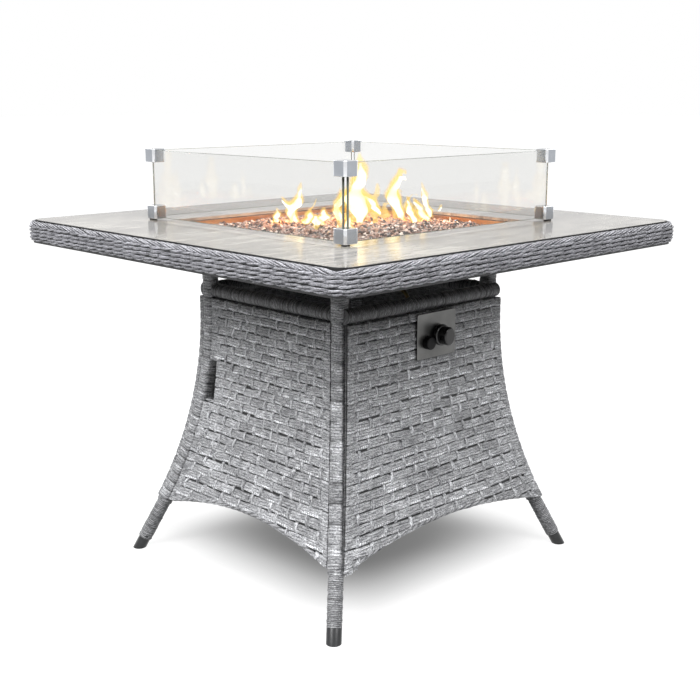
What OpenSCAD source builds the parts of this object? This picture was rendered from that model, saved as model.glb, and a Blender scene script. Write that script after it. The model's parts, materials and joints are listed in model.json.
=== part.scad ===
// Square garden dining table with a gas burner in its middle, a woven base that
// flares into four legs, and a glass wind guard. Millimetres, +Z up. The origin
// is on the floor under the middle of the top, and the controls face -Y.

/* [Table top] */
// Side of the square top, over the woven rim
top_w = 1000; // [940:10:1100]
// Height of the glass surface above the floor
top_h = 740; // [720:5:800]
// Height of the woven rim
rim_h = 48; // [44:1:60]
// Width of the woven rim, from its outer to its inner face
rim_w = 36; // [32:1:42]
// Corner radius of the woven rim seen from above
rim_r = 45; // [44:1:70]
// Radius of the rim's rounded outer edges
rim_round = 14; // [8:1:14]
// Width of the rim that shows outside the glass
rim_show = 15; // [14:1:17]
// Thickness of the weave on the rim's tube frame
weave_t = 8; // [6:0.5:8]
// Thickness of the glass top
glass_t = 6; // [5:1:8]
// Width of the gasket between the glass and the rim
gasket_t = 2.5; // [2:0.5:3]
// Clearance between pieces that fit together
fit = 0.2; // [0.1:0.05:0.3]

/* [Under frame] */
// Width of the square tube rails under the glass
rail_w = 20; // [16:1:26]
// Height of the rails
rail_h = 30; // [30:1:34]
// Wall of the rails
rail_wall = 2; // [1.5:0.5:3]
// Thickness of the plates that join posts and rails
plate_t = 5; // [4:1:6]
// Diameter of the plate screws
screw_d = 6; // [5:1:8]
// Diameter of the soft pads under the glass
pad_d = 18; // [12:1:20]

/* [Woven base] */
// Width of the base across its panels, above the flare
base_w = 466; // [440:2:480]
// Depth below the glass surface at which the flare starts
flare_drop = 192; // [185:1:205]
// Radius of the base's flare to the left and right
side_flare_r = 1190; // [1140:10:1240]
// Radius of the base's flare to the front and rear
front_flare_r = 1290; // [1250:10:1400]
// Final slant of the legs from upright, in degrees
leg_tilt = 28.5; // [27:0.5:29]
// Diameter of the wrapped posts and legs
leg_d = 26.5; // [22:0.5:28]
// Wall of the posts
leg_wall = 2; // [1.5:0.5:3]
// How far the posts' centres lie inside the side faces
post_in_x = 11; // [10:0.5:13]
// How far the posts' centres lie inside the front and rear faces
post_in_y = 31; // [30:0.5:36]
// Thickness of the woven panels
panel_t = 12; // [9:1:13]
// Gap between a side panel and the posts
panel_gap = 2.5; // [2:0.5:4]
// How far the front and rear panels stop short of the side faces
panel_short = 4; // [2:1:8]
// Height of the panels' lower corners
panel_low = 120; // [116:2:150]
// Rise of the arch along the panels' lower edges
arch_rise = 34; // [10:1:40]
// Level length of the lower edge at each corner of a panel
corner_flat = 10; // [4:1:20]
// Diameter of the wrapped roll along the top of each panel
roll_d = 30; // [26:1:32]
// Depth of the rolls' centres below the glass surface
roll_drop = 150; // [140:1:160]
// Outer diameter of the foot caps
cap_d = 29.5; // [29:0.5:32]
// Height of the foot caps
cap_h = 32; // [20:1:40]
// Thickness of a foot cap's sole
sole_t = 4; // [3:0.5:6]

/* [Access panel] */
// Depth of the finger notch in the panel's rear edge
notch_d = 28; // [20:1:36]
// Height of the notch's lower edge
notch_z = 354; // [330:1:370]
// Height of the notch
notch_h = 86; // [70:1:100]
// Height of the lower cross bars
bar_z = 190; // [180:1:200]
// Thickness of the lower cross bars
bar_t = 12; // [10:1:14]
// Height of a cross bar's section
bar_h = 20; // [14:1:22]
// Diameter of the pegs that the panel hangs on
peg_d = 8; // [6:0.5:10]
// Distance of pegs and catches from the panel's edge
peg_in = 26; // [20:1:34]
// Side of a catch block
catch_w = 24; // [20:1:28]
// Diameter of a catch magnet
magnet_d = 12; // [8:1:14]
// Thickness of a magnet and of a strike disc
magnet_t = 3; // [2:0.5:4]

/* [Controls] */
// Width of the control plate
plate_w = 116; // [112:1:124]
// Height of the control plate
plate_h = 94; // [84:1:98]
// Middle of the control plate to the right of the table's middle
plate_x = 18; // [14:1:22]
// Depth of the control plate's lower edge below the glass surface
plate_drop = 263; // [260:1:266]
// Thickness of the control plate
plate_sheet = 2; // [1:0.5:3]
// Margin of the plate on the panel round its window
plate_lap = 12; // [8:1:14]
// Knob's centre to the right of the plate's middle
knob_dx = 6; // [6:1:10]
// Knob's centre above the plate's lower edge
knob_dz = 46; // [44:1:50]
// Diameter of the knob's skirt
knob_d = 44; // [38:1:44]
// Length of the knob
knob_l = 27; // [24:1:34]
// Thickness of the knob's skirt
skirt_t = 8; // [7:0.5:10]
// Width of the knob's grip
grip_w = 15; // [12:0.5:18]
// Travel of the knob when it is pushed in
knob_push = 4; // [3:0.5:4]
// Diameter of the valve spindle
spindle_d = 8; // [6:0.5:8]
// Diameter of the valve's threaded neck
neck_d = 14; // [13:0.5:16]
// Side of the valve body
valve_w = 34; // [30:1:36]
// Depth of the valve body behind the plate
valve_l = 56; // [50:1:64]
// Button's centre to the left of the plate's middle
button_dx = 29; // [28:1:32]
// Button's centre above the plate's lower edge
button_dz = 34; // [32:1:38]
// Diameter of the igniter button
button_d = 27; // [24:0.5:27]
// Length of the button's cap
button_l = 9; // [8:0.5:12]
// Travel of the button
button_push = 4; // [3:0.5:4]
// Diameter of the igniter body behind the plate
igniter_d = 25; // [24:0.5:26]
// Length of the igniter body
igniter_l = 48; // [40:1:60]

/* [Burner] */
// Side of the square cut-out in the glass
cut_w = 520; // [500:5:560]
// Width of the pan's ledge that shows inside the cut-out
ledge_w = 9; // [6:1:14]
// Depth of the pan below its flange
pan_depth = 30; // [28:0.5:30]
// Sheet of the pan
sheet_t = 1.5; // [1:0.25:2]
// Seal between the pan's flange and the glass
seal_t = 1.5; // [1:0.25:2]
// Diameter of the ring burner at its tube's centre
ring_d = 300; // [220:5:340]
// Diameter of the burner's tube
burner_d = 16; // [12:1:17]
// Number of gas ports along the burner ring
port_n = 24; // [12:1:32]
// Diameter of the burner's inlet spigot
spigot_d = 20; // [16:1:22]
// Diameter of the gas mixer
mixer_d = 30; // [28:1:34]
// Length of the gas mixer
mixer_l = 46; // [40:1:50]
// Diameter of the rigid gas feed pipe
pipe_d = 8; // [6:0.5:8]
// Bend radius of the feed pipe
pipe_r = 25; // [20:1:30]
// Depth of the stones' edge below the glass surface
stone_drop = 17; // [14:1:18]
// Height of the heap of stones in the middle
stone_heap = 16; // [10:1:18]
// Height of the bumps on the stones' surface
stone_bump = 9; // [4:1:10]
// Distance of the spark electrode and thermocouple from the pan's right wall
sensor_in = 33.5; // [28:0.5:50]
// Place of the spark electrode and thermocouple in front of the middle, as a share of the pan
sensor_share = 0.4; // [0.25:0.01:0.55]

/* [Wind guard] */
// Side of the wind guard over its clips
guard_w = 615; // [600:1:680]
// Height of the wind guard above the glass
guard_h = 150; // [110:1:200]
// Thickness of the guard's panes
pane_t = 6; // [5:0.5:8]
// Side of a corner clip
clip_w = 33; // [31:1:40]
// Height of a corner clip
clip_h = 28; // [22:1:34]
// Distance from a clip's outer face to the pane
clip_wall = 8; // [5:0.5:9]
// Thickness of a clip over the end of its slot
clip_cap = 3; // [2:0.5:5]
// Height of the feet under the base clips
foot_h = 3; // [2:0.5:6]
// Diameter of the feet
foot_d = 16; // [12:1:18]

/* [Hidden] */
$fn = 64;
arc_fn = 720;
leg_fn = 64;
cut = 1;
glass_z = top_h - glass_t;
rim_z = top_h - rim_h;
rim_in = top_w / 2 - rim_w;
glass_w = top_w - 2 * (rim_show + gasket_t);
glass_r = rim_r - rim_show - gasket_t;
cut_r = 4;
flange_z = glass_z - seal_t;
rail_top = flange_z - sheet_t;
rail_z = rail_top - rail_h;
rail_gap = 2;
rail_c = cut_w / 2 + rail_gap + rail_w / 2;
flange_w = 2 * rail_c + rail_w;
post_top = rail_z - plate_t;
tube_t = rim_w - 2 * weave_t - 2 * fit;
tube_drop = 10;
tube_z = glass_z - tube_drop;
screw_head_d = 1.7 * screw_d;
screw_head_h = 0.65 * screw_d;
screw_reach = 14;
screw_l = plate_t + screw_reach;
plate_edge = 8;
plate_side_x = 82;
plate_side_y = 102;

// Posts, legs and panels
leg_r = leg_d / 2;
flare_z = top_h - flare_drop;
roll_z = top_h - roll_drop;
plate_low = top_h - plate_drop;
leg_lap = 4;
leg_step = 0.15;
splay = atan2(side_flare_r, front_flare_r);
bend_r = side_flare_r * cos(splay);
post_x = base_w / 2 - post_in_x;
post_y = base_w / 2 - post_in_y;
bend_out = bend_r * (1 - cos(leg_tilt));
bend_z = flare_z - bend_r * sin(leg_tilt);
panel_top = roll_z - roll_d / 2 - fit;
side_half = post_y - leg_r - panel_gap;
front_half = base_w / 2 - panel_short;
roll_c = (base_w - roll_d) / 2;

// Outward flare at height z of a face or an edge with the radius r
function flare(r, z) = r - sqrt(pow(r, 2) - pow(flare_z - z, 2));
// Middle and half width along X of a post's level section at height z in its bend
function leg_x(z) = post_x + flare(bend_r, z) * cos(splay);
function leg_reach(z) = leg_r * sqrt(pow(sin(splay), 2) + pow(cos(splay), 2) / (1 - pow((flare_z - z) / bend_r, 2)));

// Access panel
bar_top = bar_z + bar_h / 2;
bar_out = leg_x(bar_top) - leg_reach(bar_top) - fit;
bar_half = post_y + flare(bend_r, bar_z) * sin(splay);
peg_y = side_half + flare(front_flare_r, bar_z) - peg_in;
peg_tip = base_w / 2 + flare(side_flare_r, bar_z) - panel_t / 2;
catch_y = side_half - peg_in;
catch_face = base_w / 2 - panel_t - fit;
catch_z = panel_top - catch_w / 2;

// Controls: outward distances are measured towards the front
plate_back = base_w / 2 + flare(front_flare_r, plate_low) + fit;
plate_front = plate_back + plate_sheet;
knob_x = plate_x + knob_dx;
knob_z = plate_low + knob_dz;
nut_t = 4;
nut_d = neck_d + 8;
neck_l = plate_sheet + nut_t + 0.5;
knob_back = plate_front + knob_push + 1.5;
knob_recess = nut_t + 2;
knob_cap = 8;
collar_t = 4;
collar_d = 20;
collar_face = plate_back - 10;
chamber_l = collar_t + knob_push + 6;
button_x = plate_x - button_dx;
button_z = plate_low + button_dz;
button_back = plate_front + button_push + 0.7;
stem_d = 10;
stem_bore = 16;
igniter_nut_t = 3;
igniter_nut_d = button_d - 4;
igniter_neck_d = 18;

// Burner
pan_half = cut_w / 2 - ledge_w;
pan_in = pan_half - sheet_t;
pan_floor = flange_z - pan_depth + sheet_t;
burner_z = pan_floor + burner_d / 2 + fit;
hub_d = spigot_d + 6;
spigot_l = 24;
spigot_low = pan_floor - spigot_l;
socket_l = 12;
mix_l = 14;
air_d = 8;
mixer_top = spigot_low + socket_l;
mixer_low = mixer_top - mixer_l;
pipe_end = mixer_low + 10;
valve_out_y = plate_back - valve_l + valve_w / 2;
pipe_run = sqrt(pow(knob_x, 2) + pow(valve_out_y, 2));
pipe_turn = atan2(knob_x, valve_out_y);
pipe_z = mixer_low - 8 - pipe_r;
valve_top = knob_z + valve_w / 2;
valve_socket = 8;
pipe_low = valve_top - valve_socket + cut;
tail_d = 8;
tail_l = 26;
tail_stop = 5;
stone_half = pan_in - 0.4;
stone_n = 24;
sensor_x = pan_in - sensor_in;
sensor_y = sensor_share * pan_in;
sensor_box_x = 30;
sensor_box_y = 62;
tab_x = 14;
tab_y = 40;
tab_h = 14;
seal_out = 13;
seal_in = 2;
electrode_d = 6;
couple_d = 5;
probe_drop = 20;
probe_low = pan_floor - probe_drop;
electrode_l = 42;
spark_l = 10;
couple_l = 46;
sensor_gap = 16;

// Wind guard
pane_end = 2 * clip_wall;
pane_out = guard_w / 2 - clip_wall;
slot_t = pane_t + 2 * fit;
guard_z = top_h + foot_h;
guard_top = top_h + guard_h;
clip_leg = 2 * clip_wall + pane_t - 2;

woven_grey = "#8f9195";
rim_grey = "#b4b4ba";
steel = "#c4c6c8";
black = "#18181a";

// Helpers
module rounded_square(w, r) {
  square([w, w - 2 * r], center = true);
  square([w - 2 * r, w], center = true);
  for (x = [-1, 1], y = [-1, 1])
    translate([x * (w / 2 - r), y * (w / 2 - r)]) circle(r);
}

// Box from its lowest to its highest corner
module block(low, high) {
  translate(low) cube(high - low);
}

// Cylinder along +Y or -Y from the outward distance y1 to y2 on the front side
module front_rod(x, z, y1, y2, d) {
  translate([x, -y1, z]) rotate([90, 0, 0]) cylinder(d = d, h = y2 - y1);
}

// Table top
module rim_profile() {
  difference() {
    union() {
      translate([-rim_w, rim_z]) square([rim_w - rim_round, rim_h]);
      translate([-rim_round - cut, rim_z + rim_round]) square([rim_round + cut, rim_h - 2 * rim_round]);
      for (z = [rim_z + rim_round, top_h - rim_round])
        translate([-rim_round, z]) circle(rim_round);
    }
    translate([-rim_w - cut, glass_z]) square([rim_w - rim_show + cut, glass_t + cut]);
    translate([-weave_t - tube_t - 2 * fit, rim_z - cut])
      square([tube_t + 2 * fit, tube_z + fit - rim_z + cut]);
  }
}

module table_rim() {
  side = top_w - 2 * rim_r;
  corner = side / 2;
  color(rim_grey)
    for (turn = [0:90:270])
      rotate(turn) {
        translate([top_w / 2, corner, 0])
          rotate([90, 0, 0]) linear_extrude(side) rim_profile();
        translate([corner, corner, 0])
          rotate_extrude(angle = 90) translate([rim_r, 0]) rim_profile();
      }
}

module rim_frame() {
  inset = weave_t + fit;
  color("gray")
    translate([0, 0, rim_z]) linear_extrude(tube_z - rim_z) difference() {
      rounded_square(top_w - 2 * inset, rim_r - inset);
      rounded_square(top_w - 2 * (inset + tube_t), rim_r - inset - tube_t);
    }
}

module glass_top() {
  color("#c9c9c2")
    translate([0, 0, glass_z]) linear_extrude(glass_t) difference() {
      rounded_square(glass_w, glass_r);
      rounded_square(cut_w, cut_r);
    }
}

module edge_gasket() {
  outer = glass_w + 2 * (gasket_t - fit / 2);
  inner = glass_w + fit;
  color(black)
    translate([0, 0, glass_z]) linear_extrude(glass_t) difference() {
      rounded_square(outer, glass_r + (outer - glass_w) / 2);
      rounded_square(inner, glass_r + fit / 2);
    }
}

module glass_pads() {
  span = rim_in - flange_w / 2;
  color("#d8d8d8")
    for (x = [-1, 1], y = [-1, 1], step = [0.3, 0.75])
      translate([x * rail_c, y * (flange_w / 2 + step * span), rail_top])
        cylinder(d = pad_d, h = glass_z - rail_top);
}

module rail_tube(length) {
  difference() {
    cube([rail_w, length, rail_h], center = true);
    cube([rail_w - 2 * rail_wall, length + cut, rail_h - 2 * rail_wall], center = true);
  }
}

// Places of the plate screws, with x and y both outwards
screw_places = [
  [rail_c, post_y - leg_r],
  [rail_c, post_y + leg_r + plate_edge],
  [post_x + leg_r - screw_d, rail_c]
];

module at_screws() {
  for (x = [-1, 1], y = [-1, 1], p = screw_places)
    translate([x * p[0], y * p[1], 0]) children();
}

module long_rail(side) {
  color("dimgray") difference() {
    translate([side * rail_c, 0, rail_z + rail_h / 2]) rail_tube(2 * (rim_in - fit));
    at_screws() translate([0, 0, rail_z - cut]) cylinder(d = screw_d + 2 * fit, h = rail_wall + 2 * cut);
  }
}

module cross_rail(side) {
  length = 2 * (rail_c - rail_w / 2 - fit);
  color("dimgray") difference() {
    translate([0, side * rail_c, rail_z + rail_h / 2]) rotate(90) rail_tube(length);
    at_screws() translate([0, 0, rail_z - cut]) cylinder(d = screw_d + 2 * fit, h = rail_wall + 2 * cut);
  }
}

module post_plates() {
  rail_out = rail_c + rail_w / 2;
  low = [min(post_x - leg_r - plate_edge, rail_out - plate_side_x),
         min(post_y - leg_r - plate_edge, rail_out - plate_side_y)];
  high = [max(post_x + leg_r + plate_edge, rail_out), max(post_y + leg_r + plate_edge, rail_out)];
  color("dimgray") difference() {
    for (x = [0, 1], y = [0, 1])
      mirror([x, 0, 0]) mirror([0, y, 0])
        block([low[0], low[1], post_top], [high[0], high[1], rail_z]);
    at_screws() translate([0, 0, post_top - cut]) cylinder(d = screw_d + 2 * fit, h = plate_t + 2 * cut);
  }
}

module plate_screws() {
  color(steel) at_screws() {
    translate([0, 0, post_top]) cylinder(d = screw_d, h = screw_l);
    translate([0, 0, post_top - screw_head_h]) cylinder(d = screw_head_d, h = screw_head_h, $fn = 6);
  }
}

// Woven base
// Path of a post in its diagonal plane, upright to the height top and slanted at the floor.
// The straight lengths are a hair thinner than the bend, and their ends lie inside it.
module leg_path(r, top) {
  translate([0, 0, flare_z - leg_lap]) cylinder(r = r - leg_step, h = top - flare_z + leg_lap);
  translate([bend_r, 0, flare_z]) rotate([90, 0, 0]) rotate(180)
    rotate_extrude(angle = leg_tilt, $fn = arc_fn) translate([bend_r, 0]) circle(r, $fn = leg_fn);
  translate([bend_out, 0, bend_z]) rotate([0, 180 - leg_tilt, 0])
    translate([0, 0, -leg_lap]) cylinder(r = r - leg_step, h = bend_z / cos(leg_tilt) + leg_d);
}

module at_post(x, y) {
  translate([x * post_x, y * post_y, 0]) rotate(atan2(y * sin(splay), x * cos(splay))) children();
}

module below(z) {
  translate([-top_w, -top_w, z - top_h]) cube([2 * top_w, 2 * top_w, top_h]);
}

module post(x, y) {
  color(woven_grey) difference() {
    at_post(x, y) leg_path(leg_r, post_top);
    at_post(x, y) leg_path(leg_r - leg_wall, post_top + cut);
    below(sole_t + fit);
  }
}

module foot(x, y) {
  slant = leg_d / 2 * tan(leg_tilt) + cap_d;
  color("#2b2b2d") difference() {
    at_post(x, y) translate([bend_out, 0, bend_z]) rotate([0, 180 - leg_tilt, 0])
      translate([0, 0, (bend_z - cap_h) / cos(leg_tilt)])
        cylinder(d = cap_d, h = cap_h / cos(leg_tilt) + slant);
    below(0);
    difference() {
      at_post(x, y) translate([bend_out, 0, bend_z]) rotate([0, 180 - leg_tilt, 0])
        cylinder(r = leg_r + fit, h = bend_z / cos(leg_tilt) + slant + cut);
      below(sole_t);
    }
  }
}

module roll_front_rear(side) {
  color(woven_grey) difference() {
    translate([-front_half, side * roll_c, roll_z])
      rotate([0, 90, 0]) cylinder(d = roll_d, h = 2 * front_half);
    for (x = [-1, 1])
      translate([x * post_x, side * post_y, roll_z - roll_d]) cylinder(r = leg_r + fit, h = 2 * roll_d);
  }
}

module roll_side(side) {
  half = post_y - leg_r - fit;
  color(woven_grey) translate([side * roll_c, -half, roll_z])
    rotate([-90, 0, 0]) cylinder(d = roll_d, h = 2 * half);
}

// Section of a panel through its thickness: upright above, an arc of radius r below
module panel_section(r) {
  translate([base_w / 2 - panel_t, flare_z]) square([panel_t, panel_top - flare_z]);
  intersection() {
    translate([base_w / 2 + r, flare_z]) difference() {
      circle(r + panel_t, $fn = arc_fn);
      circle(r, $fn = arc_fn);
    }
    translate([0, panel_low - cut]) square([base_w, flare_z - panel_low + cut]);
  }
}

// Face outline of a panel: edges that flare with radius r and an arched lower edge
module panel_outline(half, r) {
  arch_half = half + flare(r, panel_low) - corner_flat;
  arch_r = (pow(arch_half, 2) + pow(arch_rise, 2)) / (2 * arch_rise);
  difference() {
    union() {
      translate([-half, flare_z]) square([2 * half, panel_top - flare_z]);
      difference() {
        translate([-base_w, panel_low]) square([2 * base_w, flare_z - panel_low]);
        for (s = [-1, 1])
          translate([s * (half + r), flare_z]) circle(r, $fn = arc_fn);
      }
    }
    translate([0, panel_low + arch_rise - arch_r]) circle(arch_r, $fn = arc_fn);
  }
}

// A panel that faces +X
module panel(half, face_r, edge_r) {
  intersection() {
    rotate([90, 0, 0]) linear_extrude(2 * base_w, center = true) panel_section(face_r);
    rotate([90, 0, 90]) linear_extrude(base_w) panel_outline(half, edge_r);
  }
}

module side_panel() {
  panel(side_half, side_flare_r, front_flare_r);
}

module end_panel() {
  panel(front_half, front_flare_r, side_flare_r);
}

module panel_front() {
  window = [plate_w / 2 - plate_lap, plate_low + plate_lap, plate_low + plate_h - plate_lap];
  color(woven_grey) difference() {
    rotate(-90) end_panel();
    block([plate_x - window[0], -base_w, window[1]], [plate_x + window[0], 0, window[2]]);
  }
}

module panel_rear() {
  color(woven_grey) rotate(90) end_panel();
}

// Blind holes for the pegs, in a panel that faces +X
module peg_holes() {
  for (y = [-1, 1])
    translate([0, y * peg_y, bar_z]) rotate([0, 90, 0])
      cylinder(d = peg_d + 4 * fit, h = peg_tip + 2 * fit);
}

module panel_right() {
  color(woven_grey) difference() {
    side_panel();
    peg_holes();
  }
}

module access_panel() {
  notch_in = side_half + flare(front_flare_r, notch_z + notch_h / 2) - notch_d;
  color(woven_grey) rotate(180) difference() {
    side_panel();
    peg_holes();
    block([0, -base_w, notch_z], [base_w, -notch_in, notch_z + notch_h]);
    for (y = [-1, 1])
      translate([0, y * catch_y, catch_z]) rotate([0, 90, 0])
        cylinder(d = magnet_d + 2 + 2 * fit, h = base_w / 2 - panel_t + magnet_t + fit);
  }
}

// Lower cross bar behind a side panel, with its two pegs
module cross_bar(side) {
  color("dimgray") mirror([side < 0 ? 1 : 0, 0, 0]) {
    block([bar_out - bar_t, -bar_half, bar_z - bar_h / 2], [bar_out, bar_half, bar_z + bar_h / 2]);
    for (y = [-1, 1])
      translate([bar_out - bar_t / 2, y * peg_y, bar_z]) rotate([0, 90, 0])
        cylinder(d = peg_d, h = peg_tip - bar_out + bar_t / 2);
  }
}

module catch_blocks() {
  color(black) difference() {
    for (y = [-1, 1])
      block([-catch_face, y * catch_y - catch_w / 2, catch_z - catch_w / 2],
            [-catch_face + catch_w, y * catch_y + catch_w / 2, catch_z + catch_w / 2]);
    for (y = [-1, 1])
      translate([-catch_face - cut, y * catch_y, catch_z]) rotate([0, 90, 0])
        cylinder(d = magnet_d + fit, h = magnet_t + cut);
  }
}

module catch_magnets() {
  color(steel)
    for (y = [-1, 1])
      translate([-catch_face, y * catch_y, catch_z]) rotate([0, 90, 0])
        cylinder(d = magnet_d, h = magnet_t);
}

module strike_discs() {
  color(steel)
    for (y = [-1, 1])
      translate([-catch_face - fit, y * catch_y, catch_z]) rotate([0, -90, 0])
        cylinder(d = magnet_d + 2, h = magnet_t);
}

// Controls
module control_plate() {
  color(steel) difference() {
    block([plate_x - plate_w / 2, -plate_front, plate_low],
          [plate_x + plate_w / 2, -plate_back, plate_low + plate_h]);
    front_rod(knob_x, knob_z, plate_back - cut, plate_front + cut, neck_d + 2 * fit);
    front_rod(button_x, button_z, plate_back - cut, plate_front + cut, igniter_neck_d + 2 * fit);
  }
}

module valve_body() {
  half = valve_w / 2;
  back = plate_back - valve_l;
  color("#b9a468") difference() {
    union() {
      block([knob_x - half, -plate_back, knob_z - half], [knob_x + half, -back, knob_z + half]);
      front_rod(knob_x, knob_z, back + cut, plate_back + neck_l, neck_d);
    }
    front_rod(knob_x, knob_z, plate_back - valve_l / 2, plate_back + neck_l + cut, spindle_d + 4 * fit);
    front_rod(knob_x, knob_z, collar_face - chamber_l, collar_face + 1, collar_d + 4 * fit);
    translate([knob_x, -valve_out_y, valve_top - valve_socket]) cylinder(d = pipe_d + 2 * fit, h = valve_socket + cut);
    translate([knob_x, -valve_out_y, knob_z - half - cut]) cylinder(d = tail_d + 2 * fit, h = valve_socket + cut);
  }
}

module valve_nut() {
  color(steel) difference() {
    translate([knob_x, -plate_front, knob_z]) rotate([90, 0, 0]) cylinder(d = nut_d, h = nut_t, $fn = 6);
    front_rod(knob_x, knob_z, plate_front - cut, plate_front + nut_t + cut, neck_d + fit);
  }
}

// Gas inlet: a straight hose tail with a stop collar
module hose_tail() {
  low = knob_z - valve_w / 2;
  color("#c9b27a") translate([knob_x, -valve_out_y, 0]) {
    translate([0, 0, low - tail_l]) cylinder(d = tail_d, h = tail_l + valve_socket - cut);
    translate([0, 0, low - tail_stop]) cylinder(d = 2 * tail_d, h = tail_stop, $fn = 6);
  }
}

module spindle_collar() {
  color(steel) difference() {
    front_rod(knob_x, knob_z, collar_face - collar_t, collar_face, collar_d);
    front_rod(knob_x, knob_z, collar_face - collar_t - cut, collar_face + cut, spindle_d + 0.1);
  }
}

module valve_spindle() {
  tip = knob_back + knob_l - knob_cap;
  color(steel) front_rod(knob_x, knob_z, collar_face - collar_t - 1, tip, spindle_d);
}

module control_knob() {
  face = knob_back + knob_l;
  color(black) difference() {
    union() {
      front_rod(knob_x, knob_z, knob_back, knob_back + skirt_t, knob_d);
      intersection() {
        front_rod(knob_x, knob_z, knob_back, face, knob_d - 4);
        block([knob_x - grip_w / 2, -face, knob_z - knob_d], [knob_x + grip_w / 2, -knob_back, knob_z + knob_d]);
      }
    }
    front_rod(knob_x, knob_z, knob_back - cut, knob_back + knob_recess, nut_d + 4);
    front_rod(knob_x, knob_z, knob_back - cut, face - knob_cap + fit, spindle_d + fit);
  }
}

module igniter_body() {
  back = plate_back - igniter_l;
  color(black) difference() {
    union() {
      front_rod(button_x, button_z, back, plate_back, igniter_d);
      front_rod(button_x, button_z, back + cut, plate_front + igniter_nut_t + 0.5, igniter_neck_d);
    }
    front_rod(button_x, button_z, plate_back - stem_bore, plate_front + 2 * igniter_nut_t, stem_d + 4 * fit);
  }
}

module igniter_nut() {
  color(steel) difference() {
    front_rod(button_x, button_z, plate_front, plate_front + igniter_nut_t, igniter_nut_d);
    front_rod(button_x, button_z, plate_front - cut, plate_front + igniter_nut_t + cut, igniter_neck_d + fit);
  }
}

module igniter_button() {
  color(black) {
    difference() {
      front_rod(button_x, button_z, button_back, button_back + button_l, button_d);
      front_rod(button_x, button_z, button_back - cut, button_back + button_l / 2, igniter_nut_d + 1.4);
    }
    front_rod(button_x, button_z, plate_back - stem_bore + button_push + 1, button_back + button_l - cut, stem_d);
  }
}

// Burner
module feed_pipe() {
  color("#c9b27a") rotate(-pipe_turn) {
    translate([0, 0, pipe_z + pipe_r]) cylinder(d = pipe_d, h = pipe_end - pipe_z - pipe_r);
    translate([0, -pipe_r, pipe_z + pipe_r]) rotate([0, 90, 0]) rotate_extrude(angle = 90)
      translate([pipe_r, 0]) circle(d = pipe_d);
    translate([0, -pipe_r, pipe_z]) rotate([90, 0, 0]) cylinder(d = pipe_d, h = pipe_run - 2 * pipe_r);
    translate([0, pipe_r - pipe_run, pipe_z - pipe_r]) rotate([0, -90, 0]) rotate([0, 0, -90])
      rotate_extrude(angle = 90) translate([pipe_r, 0]) circle(d = pipe_d);
    translate([0, -pipe_run, pipe_low]) cylinder(d = pipe_d, h = pipe_z - pipe_r - pipe_low);
  }
}

module gas_mixer() {
  color("#b9a468") difference() {
    translate([0, 0, mixer_low]) cylinder(d = mixer_d, h = mixer_l);
    translate([0, 0, spigot_low - mix_l]) cylinder(d = spigot_d + 2 * fit, h = socket_l + mix_l + cut);
    translate([0, 0, mixer_low - cut]) cylinder(d = pipe_d + 2 * fit, h = mixer_l);
    for (turn = [0, 90])
      translate([0, 0, spigot_low - air_d]) rotate([90, 0, turn])
        cylinder(d = air_d, h = 2 * mixer_d, center = true);
  }
}

module burner_shape(grow) {
  translate([0, 0, burner_z]) rotate_extrude($fn = 180) translate([ring_d / 2, 0]) circle(burner_d / 2 + grow);
  translate([-ring_d / 2, 0, burner_z]) rotate([0, 90, 0]) cylinder(r = burner_d / 2 + grow, h = ring_d);
  translate([0, 0, pan_floor + fit - grow]) cylinder(r = hub_d / 2 + grow, h = burner_d + 2 * grow);
  translate([0, 0, spigot_low]) cylinder(r = spigot_d / 2 + grow, h = burner_z - spigot_low);
}

module burner_ring() {
  color(steel) difference() {
    burner_shape(0);
    for (i = [0:port_n - 1])
      rotate((i + 0.5) * 360 / port_n) translate([ring_d / 2, 0, burner_z + burner_d / 4])
        cylinder(d = 2.4, h = burner_d, $fn = 16);
    translate([0, 0, spigot_low - cut]) cylinder(d = spigot_d - 4, h = burner_z - spigot_low);
  }
}

module burner_pan() {
  color(steel) difference() {
    union() {
      block([-flange_w / 2, -flange_w / 2, rail_top], [flange_w / 2, flange_w / 2, flange_z]);
      block([-pan_half, -pan_half, pan_floor - sheet_t], [pan_half, pan_half, flange_z]);
    }
    block([-pan_in, -pan_in, pan_floor], [pan_in, pan_in, top_h]);
    translate([0, 0, pan_floor - 2 * sheet_t]) cylinder(d = spigot_d + 2 * fit, h = 4 * sheet_t);
    for (y = [-1, 1])
      translate([sensor_x, y * sensor_gap / 2 - sensor_y, pan_floor - 2 * sheet_t])
        cylinder(d = electrode_d + 2, h = 4 * sheet_t);
  }
}

module pan_seal() {
  color(black) translate([0, 0, flange_z]) linear_extrude(seal_t) difference() {
    rounded_square(cut_w + 2 * seal_out, 3 * seal_in);
    rounded_square(cut_w + 2 * seal_in, cut_r);
  }
}

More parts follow.
